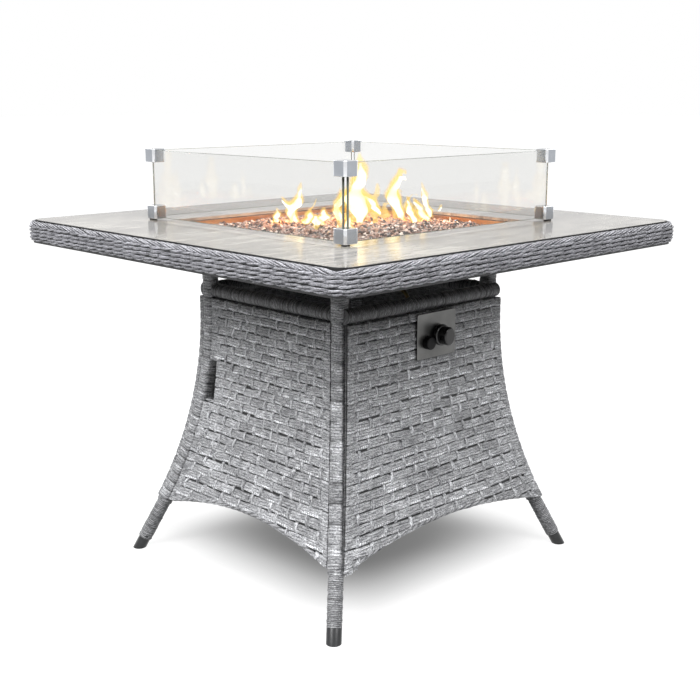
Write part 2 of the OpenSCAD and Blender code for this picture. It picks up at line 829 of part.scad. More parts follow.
// Bed of stones: a bumpy heap that is highest in the middle
module stone_bed() {
  step = 2 * stone_half / stone_n;
  bumps = rands(0, stone_bump, pow(stone_n + 1, 2), 7);
  low = pan_floor + fit;
  function stone_height(i, j) =
    let (x = cos(180 * (i / stone_n - 0.5)), y = cos(180 * (j / stone_n - 0.5)))
      top_h - stone_drop - stone_bump / 2 + stone_heap * x * y + bumps[i * (stone_n + 1) + j];
  top = [for (i = [0:stone_n], j = [0:stone_n]) [i * step - stone_half, j * step - stone_half, stone_height(i, j)]];
  edge = [
    for (k = [0:stone_n - 1]) k * (stone_n + 1),
    for (k = [0:stone_n - 1]) stone_n * (stone_n + 1) + k,
    for (k = [stone_n:-1:1]) k * (stone_n + 1) + stone_n,
    for (k = [stone_n:-1:1]) k
  ];
  n = len(edge);
  base = len(top);
  points = concat(top, [for (k = edge) [top[k][0], top[k][1], low]], [[0, 0, low]]);
  faces = concat(
    [for (i = [0:stone_n - 1], j = [0:stone_n - 1])
      let (a = i * (stone_n + 1) + j, b = a + stone_n + 1)
        each [[a, a + 1, b + 1], [a, b + 1, b]]],
    [for (k = [0:n - 1])
      let (m = (k + 1) % n)
        each [[edge[k], edge[m], base + m], [edge[k], base + m, base + k], [base + k, base + m, base + n]]]
  );
  color("#8a7568") difference() {
    polyhedron(points, faces);
    burner_shape(2 * fit);
    block([sensor_x - sensor_box_x / 2, -sensor_y - sensor_box_y / 2, pan_floor],
          [sensor_x + sensor_box_x / 2, -sensor_y + sensor_box_y / 2, 2 * top_h]);
  }
}

// Angle bracket on the pan's floor that holds the electrode and the thermocouple
module sensor_bracket() {
  tab_z = pan_floor + tab_h;
  color(steel) difference() {
    union() {
      block([sensor_x - tab_x / 2, -sensor_y - tab_y / 2, tab_z],
            [sensor_x + tab_x / 2, -sensor_y + tab_y / 2, tab_z + sheet_t]);
      block([sensor_x + tab_x / 2 - sheet_t, -sensor_y - tab_y / 2, pan_floor],
            [sensor_x + tab_x / 2, -sensor_y + tab_y / 2, tab_z + sheet_t]);
    }
    translate([sensor_x, sensor_gap / 2 - sensor_y, tab_z - cut]) cylinder(d = electrode_d + fit, h = 4 * sheet_t);
    translate([sensor_x, -sensor_gap / 2 - sensor_y, tab_z - cut]) cylinder(d = couple_d + fit, h = 4 * sheet_t);
  }
}

module spark_electrode() {
  color("white") translate([sensor_x, sensor_gap / 2 - sensor_y, 0]) {
    translate([0, 0, probe_low]) cylinder(d = electrode_d, h = electrode_l);
    translate([0, 0, probe_low + electrode_l - cut]) cylinder(d = electrode_d / 3, h = spark_l + cut);
  }
}

module thermocouple() {
  color(steel) translate([sensor_x, -sensor_gap / 2 - sensor_y, probe_low]) {
    cylinder(d = couple_d, h = couple_l);
    translate([0, 0, couple_l]) sphere(d = couple_d);
  }
}

// Wind guard
module guard_pane(turn) {
  half = guard_w / 2 - pane_end;
  color("lightcyan", 0.4) rotate(turn)
    block([-half, -pane_out, guard_z + clip_cap], [half, -pane_out + pane_t, guard_top - clip_cap]);
}

// Corner clip with its outer corner at the origin, arms along +X and +Y, slots open upwards
module clip() {
  difference() {
    linear_extrude(clip_h) difference() {
      union() {
        square([clip_w, clip_leg]);
        square([clip_leg, clip_w]);
      }
      difference() {
        translate([-cut, -cut]) square(3 + cut);
        translate([3, 3]) circle(3);
      }
    }
    block([pane_end - fit, clip_wall - fit, clip_cap - fit], [clip_w + cut, clip_wall - fit + slot_t, clip_h + cut]);
    block([clip_wall - fit, pane_end - fit, clip_cap - fit], [clip_wall - fit + slot_t, clip_w + cut, clip_h + cut]);
  }
}

module at_guard_corners() {
  for (turn = [0:90:270])
    rotate(turn) translate([-guard_w / 2, -guard_w / 2, 0]) children();
}

module guard_top_clips() {
  color(steel) at_guard_corners() translate([0, 0, guard_top]) mirror([0, 0, 1]) clip();
}

module guard_base_clips() {
  color(steel) at_guard_corners() translate([0, 0, guard_z]) clip();
}

module guard_feet() {
  color(black) at_guard_corners() translate([clip_leg / 2, clip_leg / 2, top_h]) cylinder(d = foot_d, h = foot_h);
}

table_rim();
rim_frame();
glass_top();
edge_gasket();
glass_pads();
long_rail(-1);  // rail_left
long_rail(1);  // rail_right
cross_rail(-1);  // rail_front
cross_rail(1);  // rail_rear
post_plates();
plate_screws();
post(-1, -1);  // post_front_left
post(1, -1);  // post_front_right
post(-1, 1);  // post_rear_left
post(1, 1);  // post_rear_right
foot(-1, -1);  // foot_front_left
foot(1, -1);  // foot_front_right
foot(-1, 1);  // foot_rear_left
foot(1, 1);  // foot_rear_right
roll_front_rear(-1);  // roll_front
roll_front_rear(1);  // roll_rear
roll_side(-1);  // roll_left
roll_side(1);  // roll_right
cross_bar(-1);  // bar_left
cross_bar(1);  // bar_right
panel_front();
panel_rear();
panel_right();
access_panel();
catch_blocks();
catch_magnets();
strike_discs();
control_plate();
valve_body();
valve_nut();
hose_tail();
spindle_collar();
valve_spindle();
control_knob();
igniter_body();
igniter_nut();
igniter_button();
feed_pipe();
gas_mixer();
burner_ring();
burner_pan();
pan_seal();
stone_bed();
sensor_bracket();
spark_electrode();
thermocouple();
guard_pane(0);  // guard_pane_front
guard_pane(180);  // guard_pane_rear
guard_pane(270);  // guard_pane_left
guard_pane(90);  // guard_pane_right
guard_top_clips();
guard_base_clips();
guard_feet();
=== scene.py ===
import bpy
import json
import math
import numpy as np
from mathutils.bvhtree import BVHTree
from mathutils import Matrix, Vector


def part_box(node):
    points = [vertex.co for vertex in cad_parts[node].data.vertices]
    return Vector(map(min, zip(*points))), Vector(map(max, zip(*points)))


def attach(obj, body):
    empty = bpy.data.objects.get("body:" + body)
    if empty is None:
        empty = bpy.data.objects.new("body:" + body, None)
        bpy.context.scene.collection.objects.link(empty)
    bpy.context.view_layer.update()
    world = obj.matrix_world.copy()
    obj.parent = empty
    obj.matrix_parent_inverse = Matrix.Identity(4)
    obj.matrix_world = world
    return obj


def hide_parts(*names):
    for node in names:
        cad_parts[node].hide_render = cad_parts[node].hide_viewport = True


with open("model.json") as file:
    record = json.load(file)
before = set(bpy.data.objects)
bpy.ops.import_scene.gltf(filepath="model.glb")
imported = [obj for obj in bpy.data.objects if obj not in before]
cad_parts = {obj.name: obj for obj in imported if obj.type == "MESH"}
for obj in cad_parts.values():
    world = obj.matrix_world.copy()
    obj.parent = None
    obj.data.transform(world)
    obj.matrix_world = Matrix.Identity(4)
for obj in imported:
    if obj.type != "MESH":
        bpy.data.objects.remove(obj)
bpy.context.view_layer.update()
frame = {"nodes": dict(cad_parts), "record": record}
nodes = frame["nodes"]
chance = np.random.default_rng(20)
print("frame loaded:", len(nodes), "nodes")


# colours are written as sRGB hex and used as linear light
def linear(hexText):
    parts = [int(hexText[i:i + 2], 16) / 255 for i in (1, 3, 5)]
    return [p / 12.92 if p <= 0.04045 else ((p + 0.055) / 1.055) ** 2.4 for p in parts] + [1.0]


# fills a node's sockets and settings; a node given as a value links its first output
def fill(tree, node, settings):
    for key, value in settings.items():
        source = value.outputs[0] if isinstance(value, bpy.types.Node) else value
        if isinstance(source, bpy.types.NodeSocket):
            tree.links.new(source, node.inputs[key])
        elif isinstance(key, int) or key in node.inputs:
            node.inputs[key].default_value = source
        else:
            setattr(node, key, source)


# adds a node with its settings, and with values for its sockets in turn
def addNode(tree, kind, settings, *values):
    node = tree.nodes.new("ShaderNode" + kind)
    fill(tree, node, settings)
    fill(tree, node, dict(enumerate(values)))
    return node


def setRamp(node, stops):
    ramp = node.color_ramp
    while len(ramp.elements) < len(stops):
        ramp.elements.new(0.5)
    for element, (place, hexText) in zip(ramp.elements, stops):
        element.position = place
        element.color = linear(hexText)
    return node


def newMaterial(name, settings):
    material = bpy.data.materials.new(name)
    material.use_nodes = True
    tree = material.node_tree
    shader = tree.nodes["Principled BSDF"]
    fill(tree, shader, settings)
    return material, tree, shader


# what the node trees reckon with most
plus, minus = {"operation": "ADD"}, {"operation": "SUBTRACT"}
times, timesPlus = {"operation": "MULTIPLY"}, {"operation": "MULTIPLY_ADD"}


# an uneven pattern from 0 to 1, with so many blotches to the metre along x, y and z of a place
def blotches(tree, place, spread, detail, rough=0.5):
    place = addNode(tree, "Mapping", {"Vector": place, "Scale": spread})
    return addNode(tree, "TexNoise", {"Vector": place, "Scale": 1.0, "Detail": detail, "Roughness": rough})


def deselectAll():
    if bpy.context.mode != "OBJECT":
        bpy.ops.object.mode_set(mode="OBJECT")
    bpy.ops.object.select_all(action="DESELECT")


def dress(piece, material, body, slotName, *replaced):
    piece.data.materials.append(material)
    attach(piece, body)
    if replaced:
        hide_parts(*replaced)


# low corner, high corner and middle of a solid
def boxOf(node):
    low, high = (np.array(corner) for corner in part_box(node))
    return low, high, (low + high) / 2


# camera and light
view = {"place": (-1.679, -1.742, 1.008), "turn": -43.954, "down": 12.884, "lens": 58.21, "sensor": 36}
studio = {"fill": 0.011, "floor": "#868686", "floorSize": 80, "floorZ": -0.0004, "shadeAt": (0.055, 0.055, 0),
          "shadeRound": 0.2, "paintedShadowGlow": 0.17, "farGlow": 0.90, "glowFrom": 0.15, "glowTo": 0.40,
          "whiteAt": 1.0, "whiteMore": 0.19}
softboxes = {"overhead": {"power": 8, "size": 2.2, "place": (-0.7, -0.7, 2.8), "aim": (0, 0, 0.4)},
             "near": {"power": 20, "size": 0.9, "place": (-0.75, -0.75, 1.9), "aim": (-0.3, -0.3, 0.7)},
             "rear": {"power": 52, "size": 1.8, "place": (-0.3, 3.2, 2.4), "aim": (0, 0, 0.3)},
             "right": {"power": 52, "size": 1.8, "place": (3.2, -0.3, 2.4), "aim": (0, 0, 0.3)},
             "left": {"power": 136, "size": 1.8, "place": (-3.2, -0.2, 2.95), "aim": (0, 0, 0.3)},
             "front": {"power": 93, "size": 1.8, "place": (-0.2, -3.2, 2.95), "aim": (0, 0, 0.3)}}
fireGlow = {"colour": "#ffa648", "size": 0.03, "high": 3.2, "low": 1.3, "highAt": [(-0.02, -0.02, 0.80)],
            "lowAt": [(-0.09, 0.09, 0.762), (-0.03, -0.04, 0.765), (0.14, -0.05, 0.762)]}

scene = bpy.context.scene
scene.view_settings.view_transform = "Standard"
cameraData = bpy.data.cameras.new("camera")
cameraData.lens = view["lens"]
cameraData.sensor_width = view["sensor"]
camera = bpy.data.objects.new("camera", cameraData)
camera.location = view["place"]
camera.rotation_euler = (math.radians(90 - view["down"]), 0, math.radians(view["turn"]))
scene.collection.objects.link(camera)
scene.camera = camera


# 1 for rays that the eye sees, straight on, in gloss or through glass
def seenRays(tree):
    path = addNode(tree, "LightPath", {})
    seen = path.outputs["Is Camera Ray"]
    for kind in ("Is Glossy Ray", "Is Transmission Ray"):
        seen = addNode(tree, "Math", dict(plus, use_clamp=True), seen, path.outputs[kind])
    return seen


# the world is white where it is seen, and a plain fill for the rest
world = bpy.data.worlds.new("studio")
scene.world = world
world.use_nodes = True
tree = world.node_tree
tree.nodes.clear()
level = addNode(tree, "MapRange", {"To Min": studio["fill"], "To Max": 1.0}, seenRays(tree))
sky = addNode(tree, "Background", {"Color": (1, 1, 1, 1), "Strength": level})
addNode(tree, "OutputWorld", {}, sky)

# the floor takes the shadow and glows to the eye, so that it is white where nothing shades it; the glow is
# dimmer in a rounded square round the table's middle, a painted shadow under the table
deselectAll()
bpy.ops.mesh.primitive_plane_add(size=studio["floorSize"], location=(0, 0, studio["floorZ"]))
floor = bpy.context.object
floor.name = "floor"
floorPaper = bpy.data.materials.new("studio paper")
floorPaper.use_nodes = True
tree = floorPaper.node_tree
tree.nodes.clear()
spot = addNode(tree, "TexCoord", {})
away = addNode(tree, "VectorMath", minus, spot.outputs["Object"], studio["shadeAt"])
away = addNode(tree, "VectorMath", {"operation": "ABSOLUTE"}, away)
x, y, _ = addNode(tree, "SeparateXYZ", {}, away).outputs
away = addNode(tree, "Math", {"operation": "SMOOTH_MAX"}, x, y, studio["shadeRound"])
# painted shadow: the glow rises from its low value under the table to the far glow further out
glow = addNode(tree, "MapRange", {"interpolation_type": "SMOOTHSTEP", "From Min": studio["glowFrom"],
                                  "From Max": studio["glowTo"], "To Min": studio["paintedShadowGlow"],
                                  "To Max": studio["farGlow"]}, away)
white = addNode(tree, "MapRange", {"From Min": studio["glowTo"], "From Max": studio["whiteAt"],
                                   "To Min": 0.0, "To Max": studio["whiteMore"]}, away)
glow = addNode(tree, "Math", plus, glow, white)
glow = addNode(tree, "Math", times, seenRays(tree), glow)
shine = addNode(tree, "Emission", {"Color": (1, 1, 1, 1), "Strength": glow})
paper = addNode(tree, "BsdfDiffuse", {"Color": linear(studio["floor"])})
addNode(tree, "OutputMaterial", {}, addNode(tree, "AddShader", {}, shine, paper))
floor.data.materials.append(floorPaper)


def addLamp(name, kind, power, place):
    lamp = bpy.data.objects.new(name, bpy.data.lights.new(name, kind))
    lamp.data.energy = power
    lamp.location = place
    scene.collection.objects.link(lamp)
    return lamp


for name, box in softboxes.items():
    lamp = addLamp(name + " softbox", "AREA", box["power"], box["place"])
    lamp.data.size = box["size"]
    away = np.array(box["place"]) - np.array(box["aim"])
    lamp.rotation_euler = (math.acos(away[2] / np.linalg.norm(away)), 0, math.atan2(away[0], -away[1]))
# the flames' light on the stones and the pan
for height in ("high", "low"):
    for place in fireGlow[height + "At"]:
        lamp = addLamp("flame glow", "POINT", fireGlow[height], place)
        lamp.data.color = linear(fireGlow["colour"])[:3]
        lamp.data.shadow_soft_size = fireGlow["size"]
        lamp.visible_camera = lamp.visible_glossy = lamp.visible_transmission = False
print("stage and camera set")


# four-sided faces of a grid of points that is listed row by row; around closes each row to a ring
def gridFaces(rows, cols, around=False):
    return [[i * cols + j, i * cols + (j + 1) % cols, (i + 1) * cols + (j + 1) % cols, (i + 1) * cols + j]
            for i in range(rows - 1) for j in range(cols if around else cols - 1)]


# faces of a tube made of rings, with its ends closed
def tubeFaces(rings, sides):
    ends = [list(range(sides))[::-1], list(range((rings - 1) * sides, rings * sides))]
    return gridFaces(rings, sides, True) + ends


# gathers laid copies into one mesh; each point has a tone, a share of plies and of beads, and a flat place
class Pile:
    def __init__(self):
        self.points, self.faces, self.tints, self.flats, self.count = [], [], [], [], 0

    def lay(self, points, faces, tone=1.0, flat=None, ply=0.0, bead=0.0):
        tint = np.zeros((len(points), 3))
        tint[:, 0] = tone
        tint[:, 1] = ply
        tint[:, 2] = bead
        self.points.append(points)
        self.tints.append(tint)
        self.flats.append(points[:, :2] if flat is None else flat)
        self.faces += [[i + self.count for i in face] for face in faces]
        self.count += len(points)

    def make(self, name, smooth=50):
        mesh = bpy.data.meshes.new(name)
        mesh.from_pydata(np.concatenate(self.points).tolist(), [], self.faces)
        tint = mesh.attributes.new("tint", "FLOAT_VECTOR", "POINT")
        tint.data.foreach_set("vector", np.concatenate(self.tints).astype(np.float32).ravel())
        corner = np.zeros(len(mesh.loops), np.int32)
        mesh.loops.foreach_get("vertex_index", corner)
        layer = mesh.uv_layers.new(name="strand")
        layer.data.foreach_set("uv", np.concatenate(self.flats)[corner].astype(np.float32).ravel())
        piece = bpy.data.objects.new(name, mesh)
        scene.collection.objects.link(piece)
        deselectAll()
        piece.select_set(True)
        bpy.context.view_layer.objects.active = piece
        bpy.ops.object.mode_set(mode="EDIT")
        bpy.ops.mesh.select_all(action="SELECT")
        bpy.ops.mesh.normals_make_consistent(inside=False)
        bpy.ops.object.mode_set(mode="OBJECT")
        if smooth:
            bpy.ops.object.shade_smooth_by_angle(angle=math.radians(smooth))
        deselectAll()
        return piece


# a piece of plain shapes, whose broad faces stay plane, so that they mirror and refract straight
def plainPiece(name, smooth, *shapes):
    pile = Pile()
    for points, faces in shapes:
        pile.lay(points, faces)
    piece = pile.make(name, smooth)
    for polygon in piece.data.polygons:
        if max(abs(n) for n in polygon.normal) > 0.9999:
            polygon.use_smooth = False
    return piece


# in edit mode: selects the faces or edges of a piece that a test picks
def pick(piece, kind, test):
    bpy.ops.mesh.select_mode(type=kind)
    bpy.ops.mesh.select_all(action="DESELECT")
    bpy.ops.object.mode_set(mode="OBJECT")
    for part in piece.data.polygons if kind == "FACE" else piece.data.edges:
        part.select = bool(test(part))
    bpy.ops.object.mode_set(mode="EDIT")


# ends edit mode and keeps a model's points and faces alone, to be copied
def takeShape(piece):
    bpy.ops.mesh.select_mode(type="VERT")
    bpy.ops.object.mode_set(mode="OBJECT")
    points = np.array([v.co[:] for v in piece.data.vertices])
    faces = [list(p.vertices) for p in piece.data.polygons]
    bpy.data.meshes.remove(piece.data)
    return points, faces


def cutAcross(axis, places):
    for place in places:
        bpy.ops.mesh.select_all(action="SELECT")
        spot = [0, 0, 0]
        spot[axis] = place
        direction = [0, 0, 0]
        direction[axis] = 1
        bpy.ops.mesh.bisect(plane_co=spot, plane_no=direction)


# one flat strand of unit size, cut so that it can bend, with a plain back: its points' places along and
# across, which of them are in front, and its faces
def modelStrand(along, across):
    deselectAll()
    bpy.ops.mesh.primitive_cube_add(size=1)
    strand = bpy.context.object
    bpy.ops.object.mode_set(mode="EDIT")
    cutAcross(0, along)
    cutAcross(1, across)
    pick(strand, "FACE", lambda face: face.normal.z < -0.9)
    bpy.ops.mesh.dissolve_faces()
    points, faces = takeShape(strand)
    return points[:, 0], points[:, 1], points[:, 2] > 0, faces


# flat place of a strand's points, each strand on its own stretch of the pattern
def ownStretch(along, across):
    return np.stack([along + chance.uniform(0, 40), across], -1)


# woven base, with the same sizes in metres as the solids
base = {"half": 0.233, "flareZ": 0.548, "sideR": 1.19, "frontR": 1.29, "endHalf": 0.229, "sideHalf": 0.18625,
        "topZ": 0.5748, "low": 0.120, "rise": 0.034, "flat": 0.010, "thick": 0.012,
        "postX": 0.222, "postY": 0.202, "legR": 0.01325, "tilt": 28.5, "postTop": 0.696}


def flare(r, z):
    drop = np.maximum(base["flareZ"] - z, 0)
    return r - np.sqrt(r * r - drop * drop)


def halfWide(panel, z):
    return panel["half"] + flare(panel["edgeR"], z)


# height of a panel's arched edge at u across
def archHeight(panel, u):
    foot = halfWide(panel, base["low"])
    reach = foot - base["flat"]
    archR = (reach ** 2 + base["rise"] ** 2) / (2 * base["rise"])
    s = np.minimum(np.abs(u) * foot, reach)
    return base["low"] + base["rise"] - archR + np.sqrt(archR ** 2 - s ** 2)


# a place on a panel that faces +X: u across from -1 to 1, v from its top 0 to its arched edge 1, w outwards
def panelPoint(panel, u, v, w):
    u, v, w = np.broadcast_arrays(u, v, w)
    z = base["topZ"] - v * (base["topZ"] - archHeight(panel, u))
    across = u * halfWide(panel, z)
    lean = np.maximum(base["flareZ"] - z, 0) / panel["faceR"]
    out = base["half"] + flare(panel["faceR"], z) + w * np.sqrt(1 - lean * lean)
    turn = math.radians(panel["turn"])
    return np.stack([out * math.cos(turn) - across * math.sin(turn),
                     out * math.sin(turn) + across * math.cos(turn), z + w * lean], -1)


# v of a height
def downShare(panel, u, z):
    return (base["topZ"] - z) / (base["topZ"] - archHeight(panel, u))


# the same place from a height, kept on the panel, for rows that run level
def rowPoint(panel, u, z, w):
    return panelPoint(panel, u, np.clip(downShare(panel, u, z), 0, 1), w)


brickShape = modelStrand((-0.43, -0.15, 0.15, 0.43), (-0.44, -0.25, 0.25, 0.44))
stakeShape = modelStrand((0.0,), (-0.36, -0.12, 0.12, 0.36))

# sizes are in metres, and shares of a row for wave, uneven and tilt; tones have a mean and a spread
weave = {"row": 0.0190, "rows": 24, "ply": 0.0058, "plies": 3, "bead": 0.0058, "rootAt": -0.0075,
         "proud": 0.0001}
brick = {"gap": 0.0064, "share": 0.89, "shortest": 0.25, "margin": 0.004, "shift": 0.10, "overArch": 0.3,
         "lift": 0.0004, "wave": 0.07, "uneven": 0.035, "swell": 0.03, "tilt": 0.07, "twist": 0.0008,
         "dip": 0.0016, "round": 0.0014, "lap": 0.0026, "tone": (1.0, 0.11)}
stake = {"wide": 0.0066, "widths": (0.85, 1.20), "rows": 1.16, "clear": 0.03, "lean": 0.15, "sink": 0.0007,
         "bow": 0.0040, "round": 0.0009, "flat": (0.004, 0.03), "tone": (1.15, 0.15)}
fold = {"face": 0.020, "faces": (0.6, 1.3), "side": 0.0105, "bendAt": 0.15, "thick": 0.0022, "round": 0.0012,
        "tuck": 0.007, "tuckFrom": 0.6, "share": 1.03, "uneven": 0.06, "length": 0.036, "tone": (1.0, 0.1),
        "bead": 0.3}
backing = {"across": (-0.998, 0.99, 65), "rows": 61, "from": 0.003, "share": 0.99, "at": -0.0055,
           "tone": 0.05, "innerTone": 0.5, "tall": 0.45}
frayed = {"across": (-0.985, -0.86), "length": (0.006, 0.012), "lean": 0.35, "depth": (-0.007, -0.002),
          "wide": 0.0018, "taper": 0.7, "root": 0.003, "thick": 0.0012, "curl": 0.002, "tone": (1.5, 0.2)}
edgeWrap = {"pitch": 0.021, "depth": 0.0016, "sides": 14, "tone": 1.0, "starts": 3, "crest": 0.55,
            "archEnd": 0.985, "archAt": 0.992, "archSteps": 420, "step": 0.0013}
wound = {"bandSteps": 32, "coilSteps": 5, "swell": 0.0003, "toneSpread": 0.13, "apart": 0.731, "bead": 0.3}


# the stretches of a row that are woven: between the panel's edges, the finger notch and the plate's window
def rowStretches(panel, z):
    wide = halfWide(panel, z)
    start = panel.get("groove", 0) / wide - 1.0
    for left, right, low, high in panel["holes"]:
        if low < z < high:
            stretches = [(start, left / wide), (right / wide, 1.0)]
            return [s for s in stretches if s[0] < s[1]]
    return [(start, 1.0)]


# the flat strands of a row, in bricks from joint to joint
def layBricks(pile, panel, row, z0, spans):
    a, b, front, faces = brickShape
    for left, right in spans:
        du, uc = right - left, (left + right) / 2
        if z0 + brick["overArch"] * weave["row"] < archHeight(panel, uc):
            continue
        lift = chance.normal(-brick["lift"], brick["lift"])
        wave = brick["wave"] * math.sin(5 * uc + 1.3 * row) * math.sin(0.9 * row)
        wave += chance.normal(0, brick["uneven"])
        tall = brick["share"] * chance.normal(1, brick["swell"])
        u = uc + a * (du - brick["gap"] / panel["half"])
        z = z0 + weave["row"] * (wave + b * tall + chance.normal(0, brick["tilt"]) * a)
        w = lift - brick["dip"] * np.abs(2 * a) ** 4 - brick["round"] * np.abs(2 * b) ** 6
        w = w - brick["lap"] * (b + 0.5) + chance.normal(0, brick["twist"]) * a
        w = np.minimum(np.where(front, w, weave["rootAt"]), weave["proud"])
        flat = ownStretch(a * du * panel["half"], b * weave["plies"] * weave["ply"])
        tone = chance.normal(*brick["tone"])
        pile.lay(rowPoint(panel, u, z, w), faces, tone, flat, 1.0, chance.uniform())


# the upright strands that show in the joints of a row
def layStakes(pile, panel, z0, joints, stretches):
    a, b, front, faces = stakeShape
    for joint in joints:
        clear = any(left + stake["clear"] < joint < right - stake["clear"] for left, right in stretches)
        if not clear or z0 < archHeight(panel, joint):
            continue
        wide = stake["wide"] * chance.uniform(*stake["widths"]) / panel["half"]
        u = joint + a * wide + b * chance.normal(0, stake["lean"]) * wide
        z = z0 + b * weave["row"] * stake["rows"]
        w = -stake["sink"] - stake["bow"] * np.abs(2 * b) ** 3 - stake["round"] * np.abs(2 * a) ** 2
        flat = ownStretch(b * stake["flat"][1], a * stake["flat"][0])
        points = rowPoint(panel, u, z, np.where(front, w, weave["rootAt"]))
        pile.lay(points, faces, chance.normal(*stake["tone"]), flat)


# strands that turn round a panel's upright edges; their part on the side is darker, by the panel's fold tone:
# painted shade
def layFolds(pile, panel, z0, ends):
    a, b, front, faces = brickShape
    bendAt = fold["bendAt"]
    for end, outward in zip(ends, (-1, 1)):
        onFace = np.maximum(bendAt - a, 0) / (0.5 + bendAt) * fold["face"] * chance.uniform(*fold["faces"])
        onSide = np.maximum(a - bendAt, 0) / (0.5 - bendAt) * fold["side"]
        turned = onSide > 0
        sunk = np.where(front, 0.0, fold["thick"])
        u = end - outward * (onFace + np.where(turned, sunk, 0.0)) / halfWide(panel, z0)
        w = -onSide - np.where(turned, 0.0, sunk) - fold["round"] * np.abs(2 * b) ** 4
        w = np.minimum(w - fold["tuck"] * np.maximum(-2 * a - fold["tuckFrom"], 0), weave["proud"])
        z = z0 + weave["row"] * (fold["share"] * b + chance.normal(0, fold["uneven"]))
        tone = chance.normal(*fold["tone"]) * np.where(onSide > 0.001, panel["foldSideShade"], 1.0)
        flat = ownStretch(a * fold["length"], b * weave["plies"] * weave["ply"])
        pile.lay(rowPoint(panel, u, z, w), faces, tone, flat, 1.0, fold["bead"])


# a loose strand end that hangs from the lower edge near the left corner
def layFrayed(pile, panel):
    a, b, front, faces = stakeShape
    down = 0.5 - b
    place = chance.uniform(*frayed["across"])
    length = chance.uniform(*frayed["length"])
    lean = chance.normal(0, frayed["lean"])
    depth = chance.uniform(*frayed["depth"])
    u = place + (a * frayed["wide"] * (1 - frayed["taper"] * down) + lean * down * length) / panel["half"]
    z = archHeight(panel, place) + frayed["root"] - down * length
    w = depth + np.where(front, 0.5, -0.5) * frayed["thick"]
    w = w + chance.uniform(-frayed["curl"], frayed["curl"]) * down ** 2
    flat = ownStretch(down * length, a * frayed["wide"])
    points = panelPoint(panel, u, downShare(panel, u, z), w)
    pile.lay(points, faces, chance.normal(*frayed["tone"]), flat)


# a nearly black core sheet that shows in the gaps, painted shade between the strands, and the panel's plain
# inner side
def layBacking(pile, panel):
    us, vs = np.linspace(*backing["across"]), np.linspace(0, 1, backing["rows"])
    u, v = np.meshgrid(us, vs, indexing="ij")
    uMiddle, vMiddle = ((grid[:-1, :-1] + grid[1:, 1:]).ravel() / 2 for grid in (u, v))
    _, across, z = panelPoint(dict(panel, turn=0), uMiddle, vMiddle, 0.0).T
    keep = np.full(len(z), True)
    for left, right, low, high in panel["holes"]:
        keep &= (across <= left) | (across >= right) | (z <= low) | (z >= high)
    faces = [face for face, kept in zip(gridFaces(len(us), len(vs)), keep) if kept]
    flat = np.stack([u.ravel() * panel["half"], v.ravel() * backing["tall"]], -1)
    for w, tone in ((backing["at"], backing["tone"]), (-base["thick"], backing["innerTone"])):
        sheet = panelPoint(panel, u, backing["from"] + v * backing["share"], w)
        pile.lay(sheet.reshape(-1, 3), faces, tone, flat)


# centre line of a wrapped edge: the arched lower edge, or the notch's border from places across and in height
def panelTrack(panel, track):
    inside = -base["thick"] / 2
    if track == "arch":
        u = np.linspace(-1, 1, edgeWrap["archSteps"]) * edgeWrap["archEnd"]
        return panelPoint(panel, u, edgeWrap["archAt"], inside)
    spots = []
    for start, end in zip(track, track[1:]):
        steps = max(int(math.dist(start, end) / edgeWrap["step"]), 4)
        spots.append(np.linspace(start, end, steps, endpoint=False))
    across, z = np.concatenate(spots).T
    u = across / halfWide(panel, z)
    return panelPoint(panel, u, downShare(panel, u, z), inside)


# even steps along a track, so many to a pitch: how far, the places, and two directions square to the track
def tubeFrame(track, pitch, steps):
    run = np.concatenate([[0], np.cumsum(np.linalg.norm(np.diff(track, axis=0), axis=1))])
    count = max(int(run[-1] / pitch * steps), 8)
    far = np.linspace(0, run[-1], count)
    line = np.stack([np.interp(far, run, track[:, k]) for k in range(3)], -1)
    ahead = np.gradient(line, axis=0)
    ahead /= np.linalg.norm(ahead, axis=1)[:, None]
    side = np.zeros_like(line)
    side[0] = np.cross(ahead[0], (0.3, 0.2, 1.0) if abs(ahead[0][2]) < 0.9 else (0.0, 1.0, 0.0))
    side[0] /= np.linalg.norm(side[0])
    for i in range(1, count):
        side[i] = side[i - 1] - ahead[i] * (side[i - 1] @ ahead[i])
        side[i] /= np.linalg.norm(side[i])
    return far, line, side, np.cross(ahead, side)


